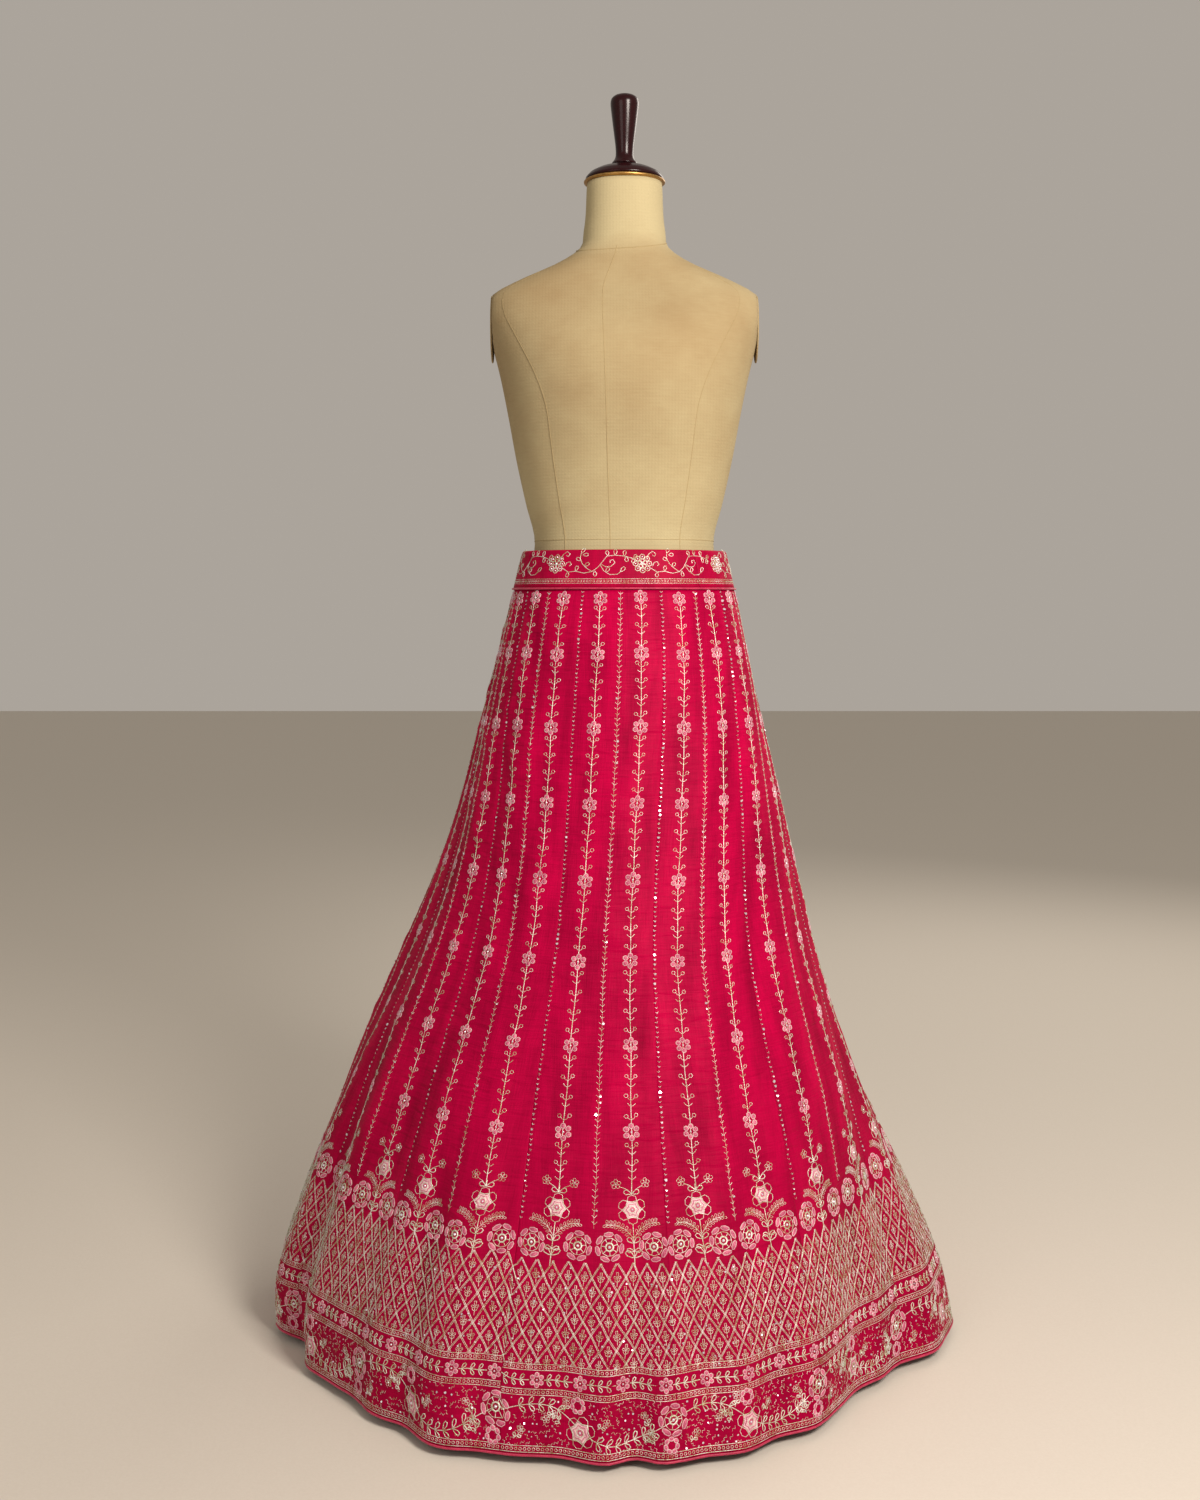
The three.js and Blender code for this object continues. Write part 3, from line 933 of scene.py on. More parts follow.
@dataclass
class Skirt:
    """Fourteen gores on one hanging surface, counted in units round it and in drop from seam to hem."""

    waist_seam: float = 941.0
    hem: float = 12.0
    outline: Outline = Outline(
        (12, 71, 152, 258, 364, 468, 572, 675, 777, 878, 941),
        {
            "left": (440, 441, 417, 378, 335, 288, 243, 208, 182, 157, 142),
            "right": (424, 409, 374, 325, 284, 252, 226, 203, 179, 156, 142),
            "front": (470, 451, 421, 371, 322, 279, 236, 197, 163, 133, 116),
            "back": (414, 400, 372, 336, 302, 268, 236, 203, 170, 138, 118),
        },
    )
    folds: tuple[Fold, ...] = (
        Fold(-6.6, 1.0, 12, 0.5, 1.0),
        Fold(-5.7, 0.6, -10, 0.6, 0.9),
        Fold(-4.45, 0.8, -7, 0.3, 0.85),
        Fold(-2.6, 0.85, 12, 0.45, 1.0),
        Fold(-1.45, 0.75, -9, 0.72, 1.0),
        Fold(-0.5, 0.34, -12, 0.7, 0.98),
        Fold(1.2, 1.2, -18, 0.66, 1.0),
        Fold(3.15, 2.0, -46, 0.62, 1.0),
        Fold(5.3, 0.9, 5, 0.4, 0.95),
    )
    seam_turn: tuple[float, float] = (17.4, 7.3)  # the reference seam's degrees at waist and hem
    front_pitch: float = 19.8  # degrees a unit across the smooth front of the waist
    front_half: float = 4.5  # units that lie smooth, each side of the reference seam
    soft: float = 0.7  # units over which the front's pitch turns to the back's
    side_shift: float = 24.0  # degrees that the right side's gores swing to the back, half-way down
    unit_mm: float = 90.0  # about one unit's width, for the sizes of small relief
    groove: tuple[float, float] = (0.9, 4.0)  # a seam's groove: depth and half-width in mm
    ridge: tuple[float, float] = (0.7, 9.0)  # what a vine lifts: height and half-width in mm
    pull_mm: float = 22.0  # from one tight stitch of a seam to the next
    billow: float = 1.7  # mm by which the gores' middles fill out and their seams draw in
    waves: tuple[tuple[int, float, float], ...] = ((31, 2.2, 0.4), (23, 2.4, 2.0))  # how many round, mm, slip
    puckers: tuple[tuple[int, float, float, float], ...] = (  # how many, from and to which unit, mm
        (90, -8.0, -0.6, 2.3), (44, -0.6, 6.5, 1.2), (50, 6.5, 20.0, 1.2),
    )
    wall: float = 1.2
    rows: int = 151
    piping_radius: float = 1.6
    piping_below: float = 1.2  # mm from the hem's edge down to the cord's middle
    piping_inside: float = 0.6
    flat_width: float = 0.212  # metres, one gore's cut at the hem with its seam allowances
    flat_length: float = 1.012
    flat_area: float = 0.13

    def turn_at(self, unit: Array, drop: Array) -> Array:
        """Degrees from the front: even steps with a wider pitch in front at the waist, even at the hem.

        Args:
            unit: places round the skirt.
            drop: 0 at the waist seam to 1 at the hem.

        Returns:
            Degrees, growing to the right.
        """
        half, soft = self.front_half, self.soft
        back_pitch = (360 - 2 * half * self.front_pitch) / (UNITS - 2 * half)
        smooth = soft * (np.logaddexp(0, (unit + half) / soft) - np.logaddexp(0, (unit - half) / soft)) - half
        waist = self.seam_turn[0] + back_pitch * unit + (self.front_pitch - back_pitch) * smooth
        shift = np.where(unit > 0, self.side_shift * np.sin(np.pi * unit / (UNITS / 2)) ** 2, 0.0)
        hem = self.seam_turn[1] + 360 / UNITS * unit + shift * np.sin(np.pi * drop)
        share = ease(0, 0.5, drop)
        return waist * (1 - share) + hem * share

    def fold_at(self, unit: Array, drop: Array) -> Array:
        """The folds: cosine-squared crests in front, pleats, flutes and ripples behind.

        Args:
            unit: places round the skirt.
            drop: 0 at the waist seam to 1 at the hem.

        Returns:
            How far the cloth stands out, in mm.
        """
        depth = np.zeros(np.broadcast(unit, drop).shape)
        for fold in self.folds:
            across = np.minimum(np.abs(unit - fold.unit) / fold.half, 1)
            depth += fold.depth * np.cos(across * np.pi / 2) ** 2 * ease(fold.starts, fold.full, drop)
        pleats = np.cos(2 * np.pi * unit) * (2 + 9 * ease(0, 0.25, drop) - 11 * ease(0.45, 0.9, drop))
        flutes = 13 * np.sin(2 * np.pi * 9 * (unit - 7) / UNITS) * ease(0.35, 1, drop)
        ripples = 5 * np.sin(2 * np.pi * 15 * unit / UNITS) * ease(0.5, 1, drop)
        return depth + ease(6, 9, np.abs(unit)) * (pleats + flutes + ripples)

    def relief_at(self, unit: Array, drop: Array) -> Array:
        """Small relief: seam grooves, the vines' ridges, filled-out middles, waves, and slanting puckers.

        Grooves, ridges and puckers are bell curves, exp(-x^2); the rest are sine waves that fade in.

        Args:
            unit: places round the skirt.
            drop: 0 at the waist seam to 1 at the hem.

        Returns:
            How far the cloth stands out, in mm.
        """
        turn = 2 * np.pi * unit / UNITS
        to_seam = np.abs(np.mod(unit + 1, 2) - 1) * self.unit_mm
        to_vine = np.abs(np.mod(unit, 1) - 0.5) * self.unit_mm
        pull = 0.6 + 0.4 * np.sin(drop * CUT_LENGTH / self.pull_mm * 2 * np.pi + 2.4 * np.round(unit / 2))
        relief = -self.groove[0] * pull * np.exp(-((to_seam / self.groove[1]) ** 2))
        relief = relief + self.ridge[0] * np.exp(-((to_vine / self.ridge[1]) ** 2))
        relief = relief + 1.3 * np.sin(15 * turn + 2 * np.pi * 2.3 * drop) * np.sin(5 * drop + 5 * turn)
        uneven = 1 + 0.5 * np.sin(5 * turn + 1)
        relief = relief - self.billow * uneven * np.cos(np.pi * unit) * ease(0, 0.3, drop)
        for count, height, slip in self.waves:
            relief = relief + height * ease(0.35, 0.95, drop) * np.sin(count * turn + slip + 1.5 * drop)
        draw = np.random.default_rng(Seed.PUCKERS)
        for count, low, high, height in self.puckers:
            middle = draw.uniform(low, high, count)
            level = draw.uniform(0.05, 0.72, count)
            half, thick = draw.uniform(0.18, 0.5, count), draw.uniform(0.007, 0.014, count)
            slant, size = draw.uniform(-0.03, 0.05, count), draw.uniform(0.4, 1.0, count) * height
            for m, v, h, t, s, z in zip(middle, level, half, thick, slant, size):
                off = wrap_unit(unit - m)
                relief = relief + z * np.exp(-((off / h) ** 2) - ((drop - v - s * off) / t) ** 2)
        return relief * ease(0, 0.02, drop)

    def face(self, unit: Array, drop: Array, out: Array) -> Array:
        """Points of the cloth's outer face, in metres.

        Args:
            unit: places round the skirt, -14 to 14.
            drop: 0 at the waist seam to 1 at the hem.
            out: more mm outwards.

        Returns:
            The points.
        """
        height = self.waist_seam + (self.hem - self.waist_seam) * drop
        return ring_points(self.outline, height, self.turn_at(unit, drop), self.fold_at(unit, drop) + out) * MM

    def surface(self) -> SampledSurface:
        """Works out the whole skirt on one grid, with columns closer together at the gores' seams.

        Returns:
            The cloth's outer face.
        """
        inner = np.linspace(0.15, 1.85, 17)
        one_gore = np.concatenate([[0, 0.02, 0.06], inner, [1.94, 1.98]])
        unit = np.concatenate([(one_gore[None, :] + 2 * np.arange(GORES)[:, None]).ravel(), [UNITS]]) - UNITS / 2
        drop = np.linspace(0, 1, self.rows)
        across, down = np.meshgrid(unit, drop)
        points = self.face(across, down, self.relief_at(across, down))
        points[:, -1] = points[:, 0]
        return SampledSurface(unit, drop, points, period=UNITS)

    def build(self, cloth: SampledSurface, silk: bpy.types.Material) -> list[bpy.types.Object]:
        """Makes one piece for each gore, with the cloth's thickness inside its face.

        Args:
            cloth: the whole skirt's surface.
            silk: the finish.

        Returns:
            The gores, gore_01 first.
        """
        made = []
        columns = (len(cloth.across) - 1) // GORES
        for number in range(GORES):
            start = ((number + GORES // 2) % GORES) * columns
            part = slice(start, start + columns + 1)
            unit = cloth.across[part] - cloth.across[start] - 1
            right = unit[None, :] * cloth.stretch_across[:, part] + 0.37 * number
            down = cloth.down * CUT_LENGTH * MM
            gore = cloth_sheet(f"gore_{number + 1:02d}_silk", cloth.points[:, part], right, down, self.wall)
            settle(gore, silk, Slot.SILK, f"gore_{number + 1:02d}")
            made.append(gore)
        return made

    def piping(self, cloth: SampledSurface, finish: bpy.types.Material) -> bpy.types.Object:
        """Makes the cord along the hem, just below the cloth's edge and a little inside it.

        Args:
            cloth: the whole skirt's surface.
            finish: the cord's.

        Returns:
            The piece.
        """
        inwards = cloth.normals[-1, :-1] * (1, 1, 0) * self.piping_inside * MM
        edge = cloth.points[-1, :-1] - (0, 0, self.piping_below * MM) - inwards
        cord = round_cord("hem_piping_cord", edge, self.piping_radius, 8)
        settle(cord, finish, Slot.PIPING, "hem_piping")
        return cord


@dataclass
class Waistband:
    """The stiffened band: a ring that leans in upwards, pieced in three, with piping on its lower edge."""

    top: float = 990.0
    bottom: float = 941.6
    outline: Outline = Outline(
        (941, 990), {"left": (143, 131), "right": (143, 131), "front": (117, 106), "back": (119, 108)}
    )
    joints: tuple[tuple[str, float, float], ...] = (
        ("left", -180.0, -64.0),
        ("front", -64.0, 41.0),
        ("right", 41.0, 180.0),
    )
    wall: float = 1.9
    degree_mm: float = 2.2  # about one degree's width
    groove: tuple[float, float] = (0.9, 1.6)  # a joint's: depth and half-width in mm
    cut_width: float = 0.051  # metres, each strip's before it was sewn
    piping_radius: float = 1.25
    piping_height: float = 942.2
    piping_outside: float = 0.9
    piping_steps: int = 240

    def relief_at(self, degrees: Array, down: Array) -> Array:
        """Small relief: a rolled upper edge, grooves at the joints, and slight waves.

        Args:
            degrees: places round the band.
            down: 0 at its upper edge to 1 at its lower.

        Returns:
            How far it stands out, in mm.
        """
        relief = -1.1 * np.exp(-down / 0.025) + 0.35 * np.sin(np.radians(degrees) * 9 + 3 * down)
        for _, start, _ in self.joints:
            away = np.abs(np.mod(degrees - start + 180, 360) - 180) * self.degree_mm
            relief = relief - self.groove[0] * np.exp(-((away / self.groove[1]) ** 2))
        return relief

    def grid(self, start: float, end: float) -> SampledSurface:
        """Works out one part of the band, with columns closer together beside its joints.

        Args:
            start: degrees of its left joint.
            end: degrees of its right joint.

        Returns:
            The part's outer face.
        """
        beside = np.array([0.0, 0.5, 1.1, 2.0])
        degrees = np.concatenate([start + beside, np.arange(start + 4, end - 3.5, 2.0), end - beside[::-1]])
        down = np.array([0, 0.015, 0.04, 0.08, 0.16, 0.3, 0.44, 0.58, 0.72, 0.86, 1.0])
        across, level = np.meshgrid(degrees, down)
        height = self.top + (self.bottom - self.top) * level
        points = ring_points(self.outline, height, across, self.relief_at(across, level)) * MM
        return SampledSurface(degrees, down, points)

    def surface(self) -> SampledSurface:
        """Joins the band's three parts side by side.

        Returns:
            The whole band's outer face.
        """
        first, *others = [self.grid(start, end) for _, start, end in self.joints]
        degrees = np.concatenate([first.across, *(part.across[1:] for part in others)])
        points = np.concatenate([first.points, *(part.points[:, 1:] for part in others)], axis=1)
        return SampledSurface(degrees, first.down, points, period=360.0)

    def build(self, band: bpy.types.Material, piping: bpy.types.Material) -> list[bpy.types.Object]:
        """Makes the three parts and the piping below them.

        Args:
            band: the band's finish.
            piping: the piping's finish.

        Returns:
            The pieces, the piping last.
        """
        made = []
        for name, start, end in self.joints:
            part = self.grid(start, end)
            right = part.across[None, :] * part.stretch_across
            down = part.down * (self.top - self.bottom) * MM
            piece = cloth_sheet(f"waistband_{name}_silk", part.points, right, down, self.wall)
            settle(piece, band, Slot.BAND, f"waistband_{name}")
            made.append(piece)
        degrees = np.linspace(-180, 180, self.piping_steps, endpoint=False)
        level = np.full(self.piping_steps, self.piping_height)
        line = ring_points(self.outline, level, degrees, self.piping_outside) * MM
        cord = round_cord("waist_piping_cord", line, self.piping_radius, 10)
        settle(cord, piping, Slot.PIPING, "waist_piping")
        return [*made, cord]


# ---- Motifs, in mm about their own middles ---------------------------------------------------------------------------


def around(count: int, first: float = 0.0) -> Array:
    """Degrees of evenly spaced places round a circle."""
    return first + np.arange(count) * 360 / count


def on_circle(radius: float, degrees: float) -> tuple[float, float]:
    """A point on a circle about the origin."""
    return radius * math.cos(math.radians(degrees)), radius * math.sin(math.radians(degrees))


def thread(width: float, *points: tuple[float, float]) -> Stroke:
    """An open cord of metal thread through points."""
    return Stroke(Stitch.METAL, np.array(points, float), width)


def ring(x: float, y: float, radius: float, width: float, count: int = 6, lift: float = 0.0) -> Stroke:
    """A closed ring of metal thread, with count points round it."""
    return Stroke(Stitch.METAL, oval(x, y, radius, radius, 0, count), width, closed=True, lift=lift)


def loop(x: float, y: float, heading: float, length: float, fat: float, width: float, count: int = 7) -> Stroke:
    """A closed drop of metal thread, as long and fat as given, with count points round it."""
    return Stroke(Stitch.METAL, drop_loop(x, y, heading, length, fat, count), width, closed=True)


def leaf(x: float, y: float, heading: float, length: float, fat: float) -> Stroke:
    """A drop-shaped leaf in outline."""
    return replace(loop(x, y, heading, length, fat, 0.95), lift=0.15)


def bead(x: float, y: float, radius: float, lift: float = 0.0) -> Stroke:
    """A round bead, as a domed pad."""
    return Stroke(Stitch.SPANGLE, oval(x, y, radius, radius, 0, 6), radius * 0.9, filled=True, lift=lift)


def petals(count: int, radius: float, along: float, out: float, height: float, first: float) -> list[Stroke]:
    """A ring of satin-stitch petals with paler outlines.

    Args:
        count: how many.
        radius: from the flower's middle to theirs.
        along: half-size along the ring.
        out: half-size outwards.
        height: of the padding.
        first: degrees of the first.

    Returns:
        The strokes.
    """
    made = []
    for degrees in around(count, first):
        x, y = on_circle(radius, degrees)
        made.append(Stroke(Stitch.PINK, oval(x, y, out, along, degrees), height, filled=True))
        made.append(Stroke(Stitch.PALE_PINK, oval(x, y, out, along, degrees), 0.9, closed=True, lift=0.45))
    return made


def vine_flower() -> list[Stroke]:
    """A six-petalled flower 19 mm across with a bead in a bare middle."""
    return [*petals(6, 6.4, 2.7, 2.9, 1.1, 30), bead(0, 0, 1.5)]


def ring_flower() -> list[Stroke]:
    """A seven-petalled flower 18 mm across round a bare disc."""
    return petals(7, 6.6, 2.9, 2.2, 1.0, 90)


def small_flower(x: float, y: float) -> list[Stroke]:
    """A flower of five cord rings round a bead, 11 mm across."""
    middles = [on_circle(3.4, degrees) for degrees in around(5, 90)]
    return [ring(x + right, y + up, 2.0, 0.65) for right, up in middles] + [bead(x, y, 1.0)]


def ring_pair() -> list[Stroke]:
    """Two small rings on short stalks, one each side of a stem."""
    return mirrored([thread(0.7, (0, -3.5), (2.4, -2.6), (4.0, -0.6)), ring(5.5, 0.9, 2.1, 0.75)])


def twig_pair() -> list[Stroke]:
    """Two short strokes that fork up from a vine's stem."""
    return mirrored([thread(0.8, (0, 0), (2.76, 1.36), (4.6, 3.4))])


def line_twigs() -> list[Stroke]:
    """Two small strokes that fork up from a gore's middle line."""
    return mirrored([thread(0.7, (0, -0.6), (2.9, 2.1))])


def seam_tick() -> list[Stroke]:
    """A small open V that holds a sequin on a seam."""
    return [thread(0.7, (-1.6, 1.2), (0, 0), (1.6, 1.2))]


def star_rose(arc_radius: float, body: float) -> list[Stroke]:
    """A pale pink six-pointed body in thin arcs, with a gold ring and a bead.

    Args:
        arc_radius: from the middle to the arcs' crests.
        body: radius of the body's points.

    Returns:
        The strokes.
    """
    degrees = around(12)
    radii = np.where(np.arange(12) % 2 == 0, body, body * 0.74)
    outline = np.stack([radii * np.cos(np.radians(degrees)), radii * np.sin(np.radians(degrees))], -1)
    made = [
        Stroke(Stitch.PALE_PINK, outline, 1.0, filled=True),
        Stroke(Stitch.METAL, outline, 1.1, closed=True, lift=0.2),
        Stroke(Stitch.PINK, outline * 0.66, 1.1, closed=True, lift=0.75),
        Stroke(Stitch.PINK, oval(0, 0, body * 0.4, body * 0.4, 0, 8), 0.3, filled=True, lift=0.85),
        ring(0, 0, body * 0.33, 1.2, 8, 1.0),
        bead(0, 0, body * 0.13, 1.05),
    ]
    for start in around(6):
        bulge = [(0, body), (12, arc_radius * 0.93), (30, arc_radius), (48, arc_radius * 0.93), (60, body)]
        made.append(thread(0.8, *(on_circle(radius, start + degrees) for degrees, radius in bulge)))
    return made


def open_rose(radius: float) -> list[Stroke]:
    """Seven petals round a bare ring crossed by spokes, with a gold ring and a bead.

    Args:
        radius: of the whole rose.

    Returns:
        The strokes.
    """
    made = petals(7, radius * 0.83, radius * 0.335, radius * 0.155, 1.1, 90)
    made.append(ring(0, 0, radius * 0.6, 0.85, 10))
    made += [thread(0.9, on_circle(radius * 0.3, d), on_circle(radius * 0.6, d)) for d in around(7, 64)]
    made += [ring(0, 0, radius * 0.27, 2.1, 8), bead(0, 0, radius * 0.12)]
    return made


def fern() -> list[Stroke]:
    """A frond that leans up to the right, with seven pairs of loops.

    Returns:
        The strokes.
    """
    spine = thread(0.8, (0.5, -30), (8, -21), (17, -15.5), (26, -14.5))
    made = [spine]
    knots = np.linspace(0, 1, len(spine.points))
    for share in np.linspace(0.16, 0.98, 7):
        x, y = (float(np.interp(share, knots, spine.points[:, axis])) for axis in (0, 1))
        heading = 42 - 18 * share
        made += [loop(x, y, heading + side, 5.0, 2.6, 0.6, 6) for side in (58, -52)]
    return made


def rose_foot() -> list[Stroke]:
    """What grows round the rose at a vine's foot: leaves and small flowers above, fronds and a stem below.

    Returns:
        The strokes.
    """
    sides = [
        leaf(0.8, 17.2, 20, 8.4, 5.2),
        thread(0.8, (0, 17.5), (6, 22.5), (13, 25.5)),
        *small_flower(16.3, 28.3),
        *fern(),
        leaf(0.4, -35.5, 42, 8.5, 5.0),
        leaf(0.4, -51.0, 40, 11.0, 6.0),
        leaf(0.4, -44.0, 10, 7.5, 4.6),
    ]
    stems = [thread(1.0, (0, 24), (0, 16)), thread(1.1, (0, -15.5), (0, -26), (0, -38), (0, -50), (0, -62))]
    return star_rose(15.7, 10.8) + mirrored(sides) + stems


def lattice_sprig() -> list[Stroke]:
    """A sprig with two leaves and three loops, 16 mm tall."""
    side = [thread(0.75, (0, -3.4), (2.2, -2.2), (2.9, -0.2)), loop(0, 0.4, 26, 4.6, 2.7, 0.75, 5)]
    return mirrored(side) + [thread(0.75, (0, -8.0), (0, 1.5)), loop(0, 1.8, 90, 5.8, 2.9, 0.75, 5)]


def leaf_step() -> list[Stroke]:
    """Two leaves, one each side of a garland that runs to the right, leaning along it."""
    return [leaf(0, side * 0.5, side * 52, 8.6, 4.2) for side in (1, -1)]


def band_garland() -> list[Stroke]:
    """A stem with three pairs of leaves, from one flower of the hem's flower band to the next."""
    stem = thread(1.1, (8, 0), (18, 0.5), (29, -0.5), (40, 0))
    return [stem, *(stroke for x in (11, 20.5, 30) for stroke in scaled(leaf_step(), 0.8, x))]


def hem_sprig() -> list[Stroke]:
    """A short branch with a small ring flower and two leaves."""
    branch = thread(0.8, (0, 0), (3.5, 5.5), (5.0, 9.5))
    return [branch, *small_flower(6.0, 14.0), leaf(1.2, 2.4, 120, 6.0, 3.6), leaf(3.0, 5.0, 8, 6.0, 3.6)]


def squiggle() -> list[Stroke]:
    """A loose S of thin cord, 6 mm long."""
    return [thread(0.6, (-3.0, -0.9), (-1.2, 1.1), (1.2, -1.1), (3.0, 0.9))]


def blossom_cluster() -> list[Stroke]:
    """A heaped flower of cord rings, 24 mm across: eight outside, five inside, beads between.

    Returns:
        The strokes.
    """
    made = [ring(*on_circle(8.6, d), 3.2, 1.1, 7) for d in around(8)]
    made += [ring(*on_circle(3.9, d), 2.3, 1.2, 6) for d in around(5, 18)]
    made += [bead(*on_circle(8.6, d), 1.3) for d in around(8)] + [bead(0, 0, 1.8)]
    return made


def band_scroll(pitch: float) -> list[Stroke]:
    """The scrolling stem between two clusters, its curls and its leaves.

    Args:
        pitch: mm from one cluster to the next.

    Returns:
        The strokes, from the left cluster's middle.
    """
    drawn_pitch = 105  # mm, what the coordinates below were drawn for
    stretch = pitch / drawn_pitch

    def line(*points: tuple[float, float]) -> Stroke:
        """One cord of the scroll."""
        return thread(1.0, *((x * stretch, y) for x, y in points))

    made = [
        line((10, -6), (17, -10.5), (26, -9.5), (36, -12), (45, -10), (51, -5), (56, 2), (61, 9.5), (70, 10.5),
             (80, 9.5), (88, 7), (95, 3)),
        line((45, -10), (39, -6), (33, 0), (30, 7), (31, 14)),
        line((55, -1), (60, -4), (66, -3.5), (70, 1), (68, 5), (64.5, 4), (65, 1)),
        line((54, -2), (58, -9), (65, -14), (73, -13.5), (77, -9.5)),
        line((5, 7), (8, 12), (13, 15.5), (17, 12.5), (15, 9), (12.5, 10.5)),
        line((12, -3), (14, 1.5), (18, 2.5), (20, -1), (17.5, -3)),
    ]
    for x, y, heading, length in (
        (17, -10.5, -100, 6.5), (26, -9.5, 75, 7), (48, -9, -80, 7), (31, 13.5, 60, 7), (31, 4, 150, 6.5),
        (36, -3.5, 40, 7), (62, 10, 105, 6.5), (70, 10.5, 85, 7.5), (76, -10.5, 50, 8), (80, 9.5, 80, 7),
        (82, 9, -80, 7), (90, 6.5, -90, 6), (60.5, -11, 60, 7), (33, 11, 5, 7), (91, 6, 60, 6),
    ):
        made.append(loop(x * stretch, y, heading, length, 4.2, 0.9))
    return made


# ---- Where the motifs go ---------------------------------------------------------------------------------------------


def spaced(surface: SampledSurface, across: Array, down: Array, pitch: float, first: float = 0.5) -> Places:
    """Places an even number of mm apart along a line, turned so that their x runs along it.

    Args:
        surface: what the line lies on.
        across: the line's places.
        down: the same, the other parameter.
        pitch: wished mm between places.
        first: where the first lies, in steps from the line's start.

    Returns:
        The places.
    """
    points = surface.read(surface.points, across, down)
    length = np.concatenate([[0], np.cumsum(np.linalg.norm(np.diff(points, axis=0), axis=-1))]) / MM
    count = max(1, round(float(length[-1]) / pitch))
    at = (np.arange(count) + first) * length[-1] / count
    wide = surface.read(surface.stretch_across, across, down)
    tall = surface.read(surface.stretch_down, across, down)
    heading = np.degrees(np.arctan2(-np.gradient(down) * tall, np.gradient(across) * wide))
    return Places.at(*(np.interp(at, length, along) for along in (across, down, heading)))


def bent(points: Array, count: int) -> tuple[Array, Array]:
    """More points on a smooth line through a few, by cubic blending with neighbour slopes.

    Args:
        points: across and down of each, shape (n, 2).
        count: how many to make.

    Returns:
        Their across and their down.
    """
    steps = np.arange(len(points), dtype=float)
    curve = Outline(tuple(steps), {"across": tuple(points[:, 0]), "down": tuple(points[:, 1])})
    at = np.linspace(0, len(points) - 1, count)
    return curve.read("across", at), curve.read("down", at)


